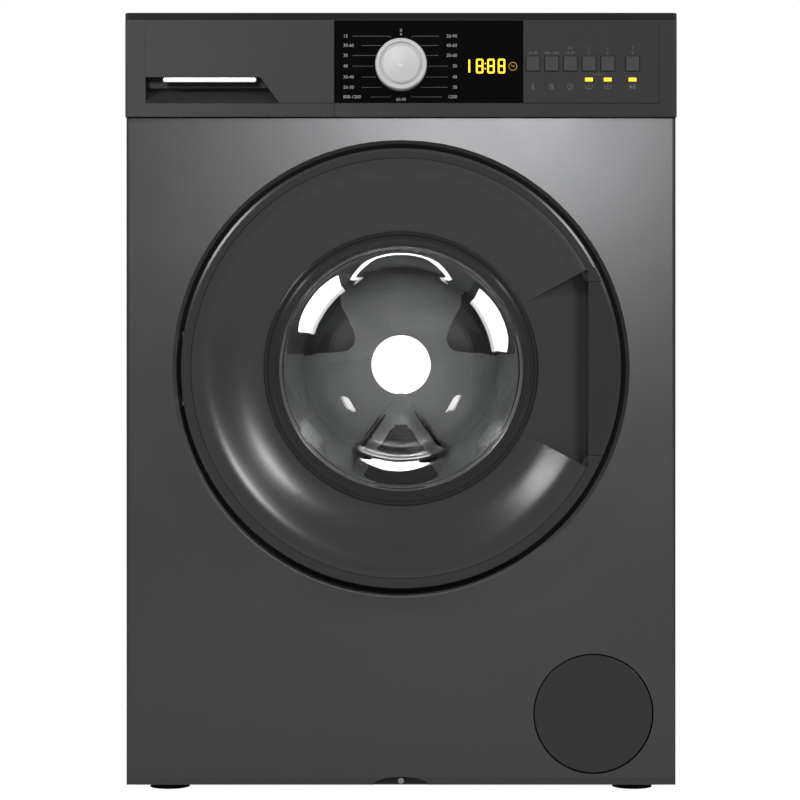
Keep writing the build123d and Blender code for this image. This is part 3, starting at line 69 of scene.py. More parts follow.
class Nodes:
    """A small helper to build a material's node tree."""

    def __init__(self, name):
        self.mat = bpy.data.materials.new(name)
        self.mat.use_nodes = True
        self.tree = self.mat.node_tree
        self.bsdf = self.tree.nodes["Principled BSDF"]
        self.out = self.tree.nodes["Material Output"]

    def add(self, kind, **values):
        node = self.tree.nodes.new(kind)
        for key, value in values.items():
            if key in node.inputs:
                node.inputs[key].default_value = value
            else:
                setattr(node, key, value)
        return node

    def link(self, a, b):
        self.tree.links.new(a, b)

    def coords(self, scale=(1, 1, 1)):
        place = self.add("ShaderNodeTexCoord")
        mapping = self.add("ShaderNodeMapping")
        mapping.inputs["Scale"].default_value = scale
        self.link(place.outputs["Object"], mapping.inputs["Vector"])
        return mapping.outputs["Vector"]

    def noise(self, scale, detail=3.0, rough=0.5, stretch=(1, 1, 1)):
        node = self.add("ShaderNodeTexNoise")
        node.inputs["Scale"].default_value = scale
        node.inputs["Detail"].default_value = detail
        node.inputs["Roughness"].default_value = rough
        self.link(self.coords(stretch), node.inputs["Vector"])
        return node.outputs["Fac"]

    def ramp(self, value, low, high, a, b):
        node = self.add("ShaderNodeMapRange")
        node.inputs["From Min"].default_value = low
        node.inputs["From Max"].default_value = high
        node.inputs["To Min"].default_value = a
        node.inputs["To Max"].default_value = b
        self.link(value, node.inputs["Value"])
        return node.outputs["Result"]

    def over(self, noise, a, b):
        """Map the middle of a noise's range to the values from a to b."""
        return self.ramp(noise, 0.3, 0.7, a, b)

    def maths(self, operation, *values):
        node = self.add("ShaderNodeMath", operation=operation)
        for socket, value in zip(node.inputs, values):
            if isinstance(value, (int, float)):
                socket.default_value = value
            else:
                self.link(value, socket)
        return node.outputs["Value"]

    def mix(self, value, a, b):
        node = self.add("ShaderNodeMix", data_type="RGBA")
        node.inputs["A"].default_value = (*a, 1)
        node.inputs["B"].default_value = (*b, 1)
        self.link(value, node.inputs["Factor"])
        return node.outputs["Result"]

    def bump(self, value, strength, distance):
        node = self.add("ShaderNodeBump")
        node.inputs["Strength"].default_value = strength
        node.inputs["Distance"].default_value = distance
        self.link(value, node.inputs["Height"])
        self.link(node.outputs["Normal"], self.bsdf.inputs["Normal"])

    def set(self, **values):
        for key, value in values.items():
            self.bsdf.inputs[key.replace("_", " ")].default_value = value


BROAD = 9  # scale of the slow change of gloss over a painted surface


def grained(name, color, rough, metal=0.0, grain=2200, depth=0.00002, strength=0.12, vary=0.12, spread=0.02,
            gloss=0.5, stretch=(1, 1, 1)):
    """Painted or moulded surface: fine grain, slight colour drift and uneven gloss."""
    n = Nodes(name)
    fine = n.noise(grain, 2.0, 0.6, stretch)
    broad = n.noise(BROAD, 2.0)
    color_low = tuple(c * (1 - vary) for c in color)
    color_high = tuple(c * (1 + vary) for c in color)
    n.link(n.mix(n.over(fine, 0, 1), color_low, color_high), n.bsdf.inputs["Base Color"])
    n.link(n.over(broad, rough - spread, rough + spread), n.bsdf.inputs["Roughness"])
    n.set(Metallic=metal, Specular_IOR_Level=gloss)
    n.bump(fine, strength, depth)
    return n.mat


def brushed(name, color, rough, stretch, grain=700, depth=0.00001, strength=0.2):
    """Bare metal with fine drawn lines."""
    n = Nodes(name)
    lines = n.noise(grain, 3.0, 0.6, stretch)
    cloud = n.noise(14, 3.0)
    dull = tuple(c * 0.93 for c in color)
    n.link(n.mix(n.over(cloud, 0, 1), dull, color), n.bsdf.inputs["Base Color"])
    n.link(n.over(lines, rough * 0.8, rough * 1.25), n.bsdf.inputs["Roughness"])
    n.set(Metallic=1.0)
    n.bump(lines, strength, depth)
    return n.mat


def glowing(name, color, power):
    """A lit lamp or display segment, a little uneven."""
    n = Nodes(name)
    n.set(Roughness=0.3)
    n.bsdf.inputs["Base Color"].default_value = (*[c * 0.4 for c in color], 1)
    n.bsdf.inputs["Emission Color"].default_value = (*color, 1)
    shade = n.noise(900, 1.0)
    n.link(n.over(shade, power * 0.9, power * 1.1), n.bsdf.inputs["Emission Strength"])
    return n.mat


def clear_glass(name):
    """Thick glass that lets light through to what is behind it."""
    n = Nodes(name)
    n.set(IOR=1.5, Transmission_Weight=1.0)
    haze = n.noise(30, 3.0)
    tint = n.mix(n.over(haze, 0, 1), (0.90, 0.92, 0.92), (0.95, 0.965, 0.965))
    n.link(tint, n.bsdf.inputs["Base Color"])
    n.link(n.over(haze, 0.0, 0.015), n.bsdf.inputs["Roughness"])
    clear = n.add("ShaderNodeBsdfTransparent")
    clear.inputs["Color"].default_value = (0.9, 0.92, 0.92, 1)
    rays = n.add("ShaderNodeLightPath")
    both = n.add("ShaderNodeMixShader")
    n.link(rays.outputs["Is Shadow Ray"], both.inputs["Fac"])
    n.link(n.bsdf.outputs["BSDF"], both.inputs[1])
    n.link(clear.outputs["BSDF"], both.inputs[2])
    n.link(both.outputs["Shader"], n.out.inputs["Surface"])
    return n.mat


HOLE_PITCH = 0.012
HOLE_REACH = 0.14  # radius of a hole, as a share of the pitch
DRUM_WALL = 0.235
SHADED_FIELD_FROM = 0.10  # the drum's back is pressed in behind here, and painted darker there as shade


def perforated(name):
    """Polished stainless sheet with rows of small dark holes, on the drum's wall, and painted shade
    darkening its pressed-in back.
    """
    n = Nodes(name)
    place = n.add("ShaderNodeTexCoord")
    split = n.add("ShaderNodeSeparateXYZ")
    n.link(place.outputs["Object"], split.inputs["Vector"])
    x, y, z = (split.outputs[axis] for axis in "XYZ")
    m = n.maths

    rise = m("SUBTRACT", z, DOOR_Z)
    along = m("MULTIPLY", y, 1 / HOLE_PITCH)
    around = m("MULTIPLY", m("ARCTAN2", rise, x), DRUM_WALL / HOLE_PITCH)
    shift = m("MULTIPLY", m("MODULO", m("ABSOLUTE", m("FLOOR", along)), 2.0), 0.5)
    u = m("SUBTRACT", m("FRACT", m("ADD", around, shift)), 0.5)
    v = m("SUBTRACT", m("FRACT", along), 0.5)
    gap = m("SQRT", m("ADD", m("MULTIPLY", u, u), m("MULTIPLY", v, v)))
    reach = m("SQRT", m("ADD", m("MULTIPLY", x, x), m("MULTIPLY", rise, rise)))
    on_wall = m("GREATER_THAN", reach, DRUM_WALL - 0.0025)
    inside = m("GREATER_THAN", y, -0.16)
    hole = m("MULTIPLY", m("MULTIPLY", m("LESS_THAN", gap, HOLE_REACH), on_wall), inside)
    # painted shade: the pressed-in fields of the drum's back are darkened nearly to black
    shaded_field = m("MULTIPLY", m("GREATER_THAN", y, SHADED_FIELD_FROM), m("LESS_THAN", y, DRUM_BACK - 0.004))
    dark = m("MAXIMUM", hole, m("MULTIPLY", shaded_field, 0.85))
    cloud = n.noise(40, 3.0)
    n.link(n.mix(dark, (0.40, 0.40, 0.405), (0.005, 0.005, 0.005)), n.bsdf.inputs["Base Color"])
    n.link(n.over(cloud, 0.3, 0.36), n.bsdf.inputs["Roughness"])
    n.link(n.ramp(hole, 0, 1, 1.0, 0.0), n.bsdf.inputs["Metallic"])
    n.bump(n.ramp(gap, 0.12, 0.2, 0, 1), 0.4, 0.0004)
    return n.mat


MAT = {
    "sheet": grained("front_sheet_paint", (0.125, 0.126, 0.129), 0.31, metal=0.8, grain=2600, strength=0.25,
                     vary=0.22, spread=0.012),
    "side": grained("side_sheet_paint", (0.12, 0.121, 0.124), 0.38, metal=0.8, grain=2600, strength=0.22,
                    vary=0.2),
    "zinc": brushed("zinc_sheet", (0.55, 0.56, 0.57), 0.42, (1, 1, 0.05), grain=500),
    "door": grained("door_plastic", (0.058, 0.058, 0.059), 0.25, grain=3000, strength=0.05, vary=0.05),
    "handle": grained("handle_plastic", (0.054, 0.054, 0.055), 0.3, grain=3000, strength=0.05, vary=0.05),
    "fascia": grained("fascia_plastic", (0.046, 0.046, 0.047), 0.4, grain=2600, vary=0.07),
    "trim": grained("worktop_trim_plastic", (0.017, 0.017, 0.0175), 0.45, strength=0.15),
    "board": grained("worktop_laminate", (0.06, 0.06, 0.062), 0.5, grain=900, strength=0.35, vary=0.2),
    "black": grained("display_gloss", (0.0015, 0.0015, 0.0016), 0.1, grain=300, strength=0.02, vary=0.1,
                     gloss=0.25),
    "silver": grained("knob_silver", (0.82, 0.82, 0.83), 0.3, metal=0.2, grain=2600, strength=0.06,
                      vary=0.03),
    "button": grained("button_plastic", (0.12, 0.12, 0.123), 0.4, metal=0.2, grain=2600, strength=0.1),
    "grey": grained("moulded_grey", (0.42, 0.43, 0.44), 0.5, grain=500, strength=0.3, vary=0.06),
    "white": grained("moulded_white", (0.8, 0.8, 0.8), 0.42, grain=600, strength=0.15, vary=0.03),
    "dark": grained("moulded_black", (0.025, 0.025, 0.026), 0.5, grain=800, strength=0.3),
    "bezel": grained("bezel_gloss", (0.04, 0.04, 0.041), 0.16, grain=1500, strength=0.03, vary=0.04),
    "rubber": grained("gasket_rubber", (0.09, 0.09, 0.092), 0.5, grain=700, strength=0.3, vary=0.08),
    "rubber_black": grained("black_rubber", (0.018, 0.018, 0.018), 0.6, grain=600, strength=0.4),
    "steel": brushed("zinc_plated_steel", (0.62, 0.62, 0.62), 0.3, (1, 1, 0.2), grain=900),
    "inox": brushed("stainless_steel", (0.66, 0.66, 0.67), 0.14, (1, 0.2, 1), grain=900, strength=0.05),
    "iron": grained("cast_iron_paint", (0.14, 0.14, 0.145), 0.65, grain=260, depth=0.0003, strength=0.5,
                    vary=0.2),
    "cast": grained("cast_aluminium", (0.55, 0.55, 0.56), 0.42, metal=1.0, grain=420, depth=0.0001,
                    strength=0.4),
    "motor": grained("motor_paint", (0.09, 0.09, 0.095), 0.5, metal=0.4, grain=500, strength=0.3),
    "drum": perforated("drum_sheet"),
    "glass": clear_glass("door_glass_clear"),
    "amber": glowing("amber_light", (1.0, 0.56, 0.03), 2.6),
    "amber_dim": glowing("amber_dim", (0.85, 0.42, 0.05), 0.45),
    "print": grained("printed_white", (0.62, 0.62, 0.62), 0.5, grain=1200, strength=0.05, vary=0.05),
    "print_dim": grained("printed_grey", (0.28, 0.28, 0.28), 0.5, grain=1200, strength=0.05, vary=0.05),
    "grip": grained("grip_white", (0.88, 0.88, 0.89), 0.3, grain=1500, strength=0.04, vary=0.02),
}

WEARS = {
    "sheet": ["front_panel"],
    "side": ["side_panel_left", "side_panel_right"],
    "zinc": ["rear_panel", "rear_cover", "top_crossbars"],
    "door": ["door_cover", "door_rim"],
    "handle": ["door_handle", "filter_cover"],
    "fascia": ["control_fascia", "drawer_front"],
    "trim": ["worktop_trim"],
    "board": ["worktop_board"],
    "black": ["display_panel"],
    "silver": ["program_knob"],
    "button": [f"button_{i}" for i in range(1, 7)],
    "grey": ["dispenser_housing", "tub_front", "tub_rear", "door_inner_frame", "drum_lifters", "drain_pump"],
    "white": ["drawer_tray", "water_inlet_valve", "pump_filter", "damper_rods"],
    "dark": ["base_frame", "door_lock", "damper_cylinders", "rear_grommets"],
    "bezel": ["door_bezel"],
    "rubber": ["door_gasket"],
    "rubber_black": ["drive_belt", "cabinet_hoses", "tub_hoses", "foot_front_left", "foot_front_right",
                     "foot_rear_left", "foot_rear_right"],
    "steel": ["door_hinge_leaf", "door_hook", "main_bearings", "motor_pulley", "cabinet_fasteners",
              "suspension_springs"],
    "inox": ["heater"],
    "iron": ["counterweights"],
    "cast": ["door_hinge_bracket", "drum_spider", "drum_pulley"],
    "motor": ["drive_motor"],
    "drum": ["drum_shell"],
    "glass": ["door_glass"],
    "amber": ["led_lenses"],
}
for key, names in WEARS.items():
    for name in names:
        for s in NODES[name].material_slots:
            s.material = MAT[key]


# ------------------------------------------------------------------ mesh helpers

INK = 0.00012  # how far a print stands off its surface


def place_object(name, mesh):
    obj = bpy.data.objects.new(name, mesh)
    bpy.context.scene.collection.objects.link(obj)
    return obj


def mesh_object(name, bm, material, body, smooth=False):
    """Turn a bmesh into a piece that rides on a body."""
    mesh = bpy.data.meshes.new(name)
    bm.to_mesh(mesh)
    bm.free()
    if smooth:
        for p in mesh.polygons:
            p.use_smooth = True
    mesh.materials.append(MAT[material])
    obj = place_object(name, mesh)
    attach(obj, body)
    return obj


def plate(bm, outline, y):
    """A thin raised print: an outline of (x, z) points, extruded towards the viewer from y."""
    area = sum(a[0] * b[1] - b[0] * a[1] for a, b in zip(outline, outline[1:] + outline[:1]))
    if area < 0:
        outline = outline[::-1]
    back = [bm.verts.new((x, y, z)) for x, z in outline]
    front = [bm.verts.new((x, y - INK, z)) for x, z in outline]
    bm.faces.new(front)
    bm.faces.new(back[::-1])
    count = len(outline)
    for i in range(count):
        j = (i + 1) % count
        bm.faces.new((front[i], back[i], back[j], front[j]))


def stroke(bm, a, b, width, y):
    """A straight printed line from a to b."""
    d = Vector((b[0] - a[0], b[1] - a[1])).normalized() * (width / 2)
    side = Vector((-d.y, d.x))
    points = [(a[0] - d.x + side.x, a[1] - d.y + side.y), (b[0] + d.x + side.x, b[1] + d.y + side.y),
              (b[0] + d.x - side.x, b[1] + d.y - side.y), (a[0] - d.x - side.x, a[1] - d.y - side.y)]
    plate(bm, points, y)


def arc(bm, cx, cz, radius, width, y, start=0, end=360, steps=28):
    """A printed arc or ring."""
    inner, outer = radius - width / 2, radius + width / 2
    for i in range(steps):
        a, b = (math.radians(start + (end - start) * k / steps) for k in (i, i + 1))
        corners = [(inner, a), (outer, a), (outer, b), (inner, b)]
        plate(bm, [(cx + r * math.cos(t), cz + r * math.sin(t)) for r, t in corners], y)


def number(text, x, z, size, y, material, align, name):
    """Printed numerals on the cabinet, as a mesh."""
    data = bpy.data.curves.new(name, "FONT")
    data.body = text
    data.size = size
    data.align_x = align
    data.align_y = "CENTER"
    data.extrude = INK / 2
    data.resolution_u = 3
    tmp = place_object(name, data)
    tmp.matrix_world = Matrix.Translation((x, y - INK / 2, z)) @ Matrix.Rotation(math.pi / 2, 4, "X")
    bpy.context.view_layer.update()
    mesh = bpy.data.meshes.new_from_object(tmp.evaluated_get(bpy.context.evaluated_depsgraph_get()))
    mesh.transform(tmp.matrix_world)
    bpy.data.objects.remove(tmp)
    mesh.materials.clear()
    mesh.materials.append(MAT[material])
    obj = place_object(name, mesh)
    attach(obj, "cabinet")


# ------------------------------------------------------------------ display and programme panel

knob = middle("program_knob")
PRINT_Y = FACE - 0.00005  # prints stand this far clear of the inlays

SEGMENTS = {
    "a": ((0.12, 1), (0.88, 1)), "b": ((1, 0.93), (1, 0.57)), "c": ((1, 0.43), (1, 0.07)),
    "d": ((0.12, 0), (0.88, 0)), "e": ((0, 0.43), (0, 0.07)), "f": ((0, 0.93), (0, 0.57)),
    "g": ((0.12, 0.5), (0.88, 0.5)),
}
DIGITS = {"1": "bc", "8": "abcdefg"}
DIGIT_HEIGHT = 0.0140
DIGIT_WIDTH = 0.0062
DIGIT_LINE = 0.0017
DIGIT_FOOT = knob.z - 0.0075
COLON_X = 0.0911
CLOCK_X = 0.1209
CLOCK_Z = knob.z - 0.0008
CLOCK_HAND = 0.0006

bm = bmesh.new()
for digit, cx in (("1", 0.0735), ("8", 0.0850), ("8", 0.0972), ("8", 0.1086)):
    left = cx - DIGIT_WIDTH * (0.95 if digit == "1" else 0.5)
    for seg in DIGITS[digit]:
        a, b = ((left + sx * DIGIT_WIDTH, DIGIT_FOOT + sz * DIGIT_HEIGHT) for sx, sz in SEGMENTS[seg])
        stroke(bm, a, b, DIGIT_LINE, PRINT_Y)
for dz in (-0.0028, 0.0028):
    arc(bm, COLON_X, knob.z - 0.0005 + dz, 0.0004, 0.0008, PRINT_Y, steps=8)
mesh_object("display_digits", bm, "amber", "cabinet")
bm = bmesh.new()
arc(bm, CLOCK_X, CLOCK_Z, 0.0043, 0.0007, PRINT_Y)
stroke(bm, (CLOCK_X, CLOCK_Z), (CLOCK_X - 0.0017, CLOCK_Z + 0.0016), CLOCK_HAND, PRINT_Y)
stroke(bm, (CLOCK_X, CLOCK_Z), (CLOCK_X + 0.0019, CLOCK_Z), CLOCK_HAND, PRINT_Y)
mesh_object("display_clock", bm, "amber_dim", "cabinet")

ROWS = [0.8193, 0.8092, 0.7984, 0.7869, 0.7751, 0.7640, 0.7536]
LEFT = ["15", "30-60", "30", "40", "30-40", "20-30", "800-1200"]
RIGHT = ["20-90", "40-60", "30-60", "30", "40", "30", "1200"]
HALF = [0.0125, 0.0215, 0.0268, 0.0300, 0.0272, 0.0215, 0.0125]  # where a row's line starts beside the knob
MARK_LEFT, MARK_RIGHT = -0.0625, 0.0606
MARK_SIZE = 0.0050
MARK_ADVANCE = 0.0032  # width of one numeral
LEADER = 0.00035

bm = bmesh.new()
for row, (z, left, right, inner) in enumerate(zip(ROWS, LEFT, RIGHT, HALF)):
    number(left, MARK_LEFT, z, MARK_SIZE, PRINT_Y, "print", "LEFT", f"mark_left_{row}")
    number(right, MARK_RIGHT, z, MARK_SIZE, PRINT_Y, "print", "RIGHT", f"mark_right_{row}")
    for side, edge, text in ((-1, -MARK_LEFT, left), (1, MARK_RIGHT, right)):
        outer = edge - MARK_ADVANCE * len(text) - 0.004
        if outer > inner + 0.002:
            stroke(bm, (side * inner, z), (side * outer, z), LEADER, PRINT_Y)
for side in (-1, 1):
    for z, turn in ((ROWS[0], -0.0014), (ROWS[-1], 0.0014)):
        stroke(bm, (side * HALF[0], z), (side * (HALF[0] - 0.0013), z + turn), LEADER, PRINT_Y)
mesh_object("programme_lines", bm, "print_dim", "cabinet")
bm = bmesh.new()
arc(bm, 0, 0.8214, 0.0005, 0.001, PRINT_Y, steps=10)
mesh_object("programme_dot", bm, "print", "cabinet")
number("0", 0, 0.8254, MARK_SIZE, PRINT_Y, "print", "CENTER", "mark_top")
number("60-90", 0, 0.7508, 0.0046, PRINT_Y, "print", "CENTER", "mark_bottom")

# ------------------------------------------------------------------ button marks

LABEL_Z = 0.8012
LABEL_PITCH = 0.0052
LABEL_SIZE = 0.0042
ICON_Z = 0.7647
ICON = 0.0005  # width of an icon's lines
BRACKET_Z = 0.7778

buttons = [middle(f"button_{i}").x for i in range(1, 7)]
LABELS = [("20-90",), ("400-1200",), ("3-6", "12-24"), ("1", "2"), ("1", "2"), ("1", "0")]
for i, (x, words) in enumerate(zip(buttons, LABELS)):
    for k, word in enumerate(reversed(words)):
        height = LABEL_Z + LABEL_PITCH * k
        number(word, x, height, LABEL_SIZE, PRINT_Y, "print_dim", "CENTER", f"button_mark_{i}_{k}")


def line(bm, x, a, b, width=ICON):
    """A stroke between two points that are given from an icon's centre."""
    stroke(bm, (x + a[0], ICON_Z + a[1]), (x + b[0], ICON_Z + b[1]), width, PRINT_Y)


def thermometer(bm, x):
    arc(bm, x, ICON_Z - 0.0018, 0.0011, 0.0006, PRINT_Y, steps=12)
    for side in (-0.0007, 0.0007):
        line(bm, x, (side, -0.0008), (side, 0.0026), 0.0004)
    arc(bm, x, ICON_Z + 0.0026, 0.0007, 0.0004, PRINT_Y, 0, 180, 8)


def spiral(bm, x):
    arc(bm, x, ICON_Z, 0.0030, ICON, PRINT_Y, 60, 330, 20)
    arc(bm, x, ICON_Z, 0.0018, ICON, PRINT_Y, -80, 190, 16)
    arc(bm, x, ICON_Z, 0.0006, 0.0006, PRINT_Y, 0, 360, 8)


def clock(bm, x):
    arc(bm, x, ICON_Z, 0.0030, ICON, PRINT_Y)
    line(bm, x, (0, 0), (0, 0.0018))
    line(bm, x, (0, 0), (0.0013, -0.0006))


def basin(bm, x, crossed):
    foot_left, foot_right = (-0.0028, -0.0022), (0.0028, -0.0022)
    line(bm, x, (-0.0038, 0.0018), foot_left)
    line(bm, x, foot_left, foot_right)
    line(bm, x, foot_right, (0.0038, 0.0018))
    line(bm, x, (0, -0.0008), (0, 0.0026))
    if crossed:
        line(bm, x, (-0.0016, 0.0009), (0.0016, 0.0009))


def start_pause(bm, x):
    plate(bm, [(x - 0.0030, ICON_Z - 0.0024), (x + 0.0002, ICON_Z), (x - 0.0030, ICON_Z + 0.0024)], PRINT_Y)
    for bar in (0.0013, 0.0028):
        line(bm, x, (bar, -0.0022), (bar, 0.0022), 0.0007)


bm = bmesh.new()
thermometer(bm, buttons[0])
spiral(bm, buttons[1])
clock(bm, buttons[2])
basin(bm, buttons[3], False)
basin(bm, buttons[4], True)
start_pause(bm, buttons[5])
mid = (buttons[3] + buttons[4]) / 2
stroke(bm, (mid - 0.006, BRACKET_Z), (mid + 0.006, BRACKET_Z), 0.0003, PRINT_Y)
plate(bm, [(mid - 0.0011, BRACKET_Z), (mid, BRACKET_Z + 0.0011), (mid + 0.0011, BRACKET_Z),
           (mid, BRACKET_Z - 0.0011)], PRINT_Y)
mesh_object("button_icons", bm, "print_dim", "cabinet")

# ------------------------------------------------------------------ drawer grip


def rounded_bar(bm, x0, x1, y0, y1, z0, z1, steps=8):
    """A bar with a half-round cross section towards the viewer and rounded ends."""
    radius = (z1 - z0) / 2
    mid = (z0 + z1) / 2
    rings = []
    stations = [(x0, 0.35), (x0 + 0.0004, 0.7), (x0 + 0.0012, 0.93), (x0 + 0.0022, 1.0),
                (x1 - 0.0022, 1.0), (x1 - 0.0012, 0.93), (x1 - 0.0004, 0.7), (x1, 0.35)]
    for x, scale in stations:
        ring = []
        for k in range(steps + 1):
            a = math.pi * (k / steps - 0.5)
            ring.append((x, y1 - (y1 - y0) * scale * math.cos(a) ** 0.6 if math.cos(a) > 1e-6 else y1,
                         mid + radius * scale * math.sin(a)))
        rings.append([bm.verts.new(p) for p in ring])
    for a, b in zip(rings[:-1], rings[1:]):
        for k in range(steps):
            bm.faces.new((a[k], b[k], b[k + 1], a[k + 1]))
        bm.faces.new((a[steps], b[steps], b[0], a[0]))
    bm.faces.new(rings[0][::-1])
    bm.faces.new(rings[-1])
    bmesh.ops.recalc_face_normals(bm, faces=bm.faces)


bm = bmesh.new()
rounded_bar(bm, -0.2573, -0.1566, FACE + 0.0002, FACE + 0.0024, 0.7697, 0.7750)
grip = mesh_object("drawer_grip", bm, "grip", "drawer", smooth=True)

# ------------------------------------------------------------------ glass bowl

# each ring: radius, depth behind the cabinet's front and rise of its centre
OUTSIDE = [(0.1540, 0.0007, 0), (0.1320, 0.0007, 0), (0.1212, 0.045, 0.0038), (0.1088, 0.0915, 0.008),
           (0.0740, 0.1155, 0.007), (0.0400, 0.1212, 0.006), (0.0, 0.1212, 0.006)]
INSIDE = [(0.1540, -0.0030, 0), (0.1284, -0.0030, 0), (0.1176, 0.041, 0.0038), (0.1052, 0.0875, 0.008),
          (0.0726, 0.1115, 0.007), (0.0400, 0.1175, 0.006), (0.0, 0.1175, 0.006)]

BELL_REACH = 0.060  # half width of the deflector
BELL_TOP = -0.036  # its top and how far it drops to the sides, from the bowl's middle
BELL_DROP = 0.058
BELL_HEIGHT = 0.010
BELL_FROM = 0.07  # the step starts at this depth in the bowl


def softened(points, times=3, pull=0.16):
    """Round the corners of a profile by cutting them."""
    for _ in range(times):
        cut = [points[0]]
        for a, b in zip(points[:-1], points[1:]):
            cut += [tuple(u + (v - u) * t for u, v in zip(a, b)) for t in (pull, 1 - pull)]
        points = cut + [points[-1]]
    return points


def ramp01(value, width):
    t = min(1.0, max(0.0, value / width))
    return t * t * (3 - 2 * t)


def deflector(x, z):
    """Height of the bell-shaped step at the foot of the bowl that turns laundry back into the drum."""
    reach = min(abs(x), BELL_REACH) / BELL_REACH
    crown = BELL_TOP - BELL_DROP * (1 - math.cos(math.pi * reach)) / 2
    return BELL_HEIGHT * ramp01(crown - z, 0.012)


def bowl_mesh(segments=288):
    """The bowl's outer and inner skins, closed at the middle and round the edge."""
    bm = bmesh.new()
    rings = []
    for profile, flip in ((softened(OUTSIDE), False), (softened(INSIDE), True)):
        for radius, depth, rise in (profile[::-1] if flip else profile):
            if radius < 1e-6:
                continue
            ring = []
            for k in range(segments):
                a = 2 * math.pi * k / segments
                x, z = radius * math.cos(a), radius * math.sin(a)
                step = deflector(x, z) * ramp01(depth - BELL_FROM, 0.02)
                ring.append(bm.verts.new((x, FRONT + depth - step, DOOR_Z + rise + z)))
            rings.append((ring, flip))
    for (a, fa), (b, fb) in zip(rings[:-1], rings[1:]):
        if fa != fb:
            for ring in (a, b):
                mid = sum((v.co for v in ring), Vector()) / segments
                centre = bm.verts.new(mid)
                for k in range(segments):
                    bm.faces.new((ring[k], ring[(k + 1) % segments], centre))
            continue
        for k in range(segments):
            j = (k + 1) % segments
            bm.faces.new((a[k], a[j], b[j], b[k]))
    first, last = rings[0][0], rings[-1][0]
    for k in range(segments):
        j = (k + 1) % segments
        bm.faces.new((last[k], last[j], first[j], first[k]))
    bmesh.ops.recalc_face_normals(bm, faces=bm.faces)
    return bm


glass = mesh_object("glass_bowl", bowl_mesh(), "glass", "door", smooth=True)
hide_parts("door_glass")

# ------------------------------------------------------------------ parts that join the tub to the cabinet


def bending(name, node, low=-1.0, high=2.0):
    """A copy of the node's faces between two heights, for a part that joins two bodies; the node itself is
    hidden.
    """
    source = NODES[node]
    mesh = source.data.copy()
    mesh.transform(source.matrix_world)
    part = bmesh.new()
    part.from_mesh(mesh)
    outside = [v for v in part.verts if not low < v.co.z < high]
    bmesh.ops.delete(part, geom=outside, context="VERTS")
    part.to_mesh(mesh)
    part.free()
    obj = place_object(name, mesh)
    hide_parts(node)
    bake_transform(obj)
    return obj


BETWEEN_HOSES = 0.4  # a height between the sump hose and the fill hose
bending("bellows", "door_gasket")
bending("springs", "suspension_springs")
bending("sump_hose", "tub_hoses",
        high=BETWEEN_HOSES)
bending("fill_hose", "tub_hoses",
        low=BETWEEN_HOSES)

# ------------------------------------------------------------------ floor and world


def make_floor():
    """A white floor that glows to the camera, but not under the cabinet, where the missing glow leaves a
    painted shadow on top of the real shade.
    """
    bm = bmesh.new()
    bmesh.ops.create_grid(bm, x_segments=1, y_segments=1, size=30)
    mesh = bpy.data.meshes.new("floor")
    bm.to_mesh(mesh)
    bm.free()
    floor = place_object("floor", mesh)
    n = Nodes("floor_white")
    n.bsdf.inputs["Base Color"].default_value = (0.7, 0.7, 0.7, 1)
    n.set(Roughness=0.95, Specular_IOR_Level=0.0)
    n.bsdf.inputs["Emission Color"].default_value = (1, 1, 1, 1)
    rays = n.add("ShaderNodeLightPath")
    axes = n.add("ShaderNodeSeparateXYZ")
    n.link(n.add("ShaderNodeNewGeometry").outputs["Position"], axes.inputs["Vector"])
    x, y = axes.outputs["X"], axes.outputs["Y"]
    glow = n.ramp(rays.outputs["Is Camera Ray"], 0, 1, 0.08, 0.97)
    # painted shadow: no glow over the cabinet's footprint, so the floor there stays dark
    under_x = n.maths("MULTIPLY", n.ramp(x, -0.29, -0.28, 0, 1), n.ramp(x, 0.28, 0.29, 1, 0))
    under_y = n.maths("MULTIPLY", n.ramp(y, -0.19, -0.18, 0, 1), n.ramp(y, 0.25, 0.26, 1, 0))
    glow_outside_shadow = n.ramp(n.maths("MULTIPLY", under_x, under_y), 0, 1, 1, 0)
    n.link(n.maths("MULTIPLY", glow, glow_outside_shadow), n.bsdf.inputs["Emission Strength"])
    mesh.materials.append(n.mat)


def make_world():
    """White to the camera, and a dim even light to everything else."""
    world = bpy.data.worlds.new("studio")
    bpy.context.scene.world = world
    world.use_nodes = True
    tree = world.node_tree
    tree.nodes.clear()
    rays = tree.nodes.new("ShaderNodeLightPath")
    both = tree.nodes.new("ShaderNodeMixShader")
    end = tree.nodes.new("ShaderNodeOutputWorld")
    tree.links.new(rays.outputs["Is Camera Ray"], both.inputs["Fac"])
    for socket, strength in ((1, 0.15), (2, 1.0)):
        sky = tree.nodes.new("ShaderNodeBackground")
        sky.inputs["Color"].default_value = (1, 1, 1, 1)
        sky.inputs["Strength"].default_value = strength
        tree.links.new(sky.outputs["Background"], both.inputs[socket])
    tree.links.new(both.outputs["Shader"], end.inputs["Surface"])


make_floor()
make_world()

# ------------------------------------------------------------------ lamps


def light(name, place, aim, power, width, height, shape="RECTANGLE"):
    data = bpy.data.lights.new(name, "AREA")
    data.energy = power
    data.shape = shape
    data.size = width
    data.size_y = height
    obj = place_object(name, data)
    obj.location = place
    obj.rotation_euler = (Vector(aim) - Vector(place)).to_track_quat("-Z", "Y").to_euler()
    return obj


def only_on(lamp, name, targets, state="INCLUDE"):
    """Light only the named objects with a lamp, or all but them with the state EXCLUDE."""
    group = bpy.data.collections.new(name)
    for target in targets:
        group.objects.link(target)
    for entry in group.collection_objects:
        entry.light_linking.link_state = state
    lamp.light_linking.receiver_collection = group


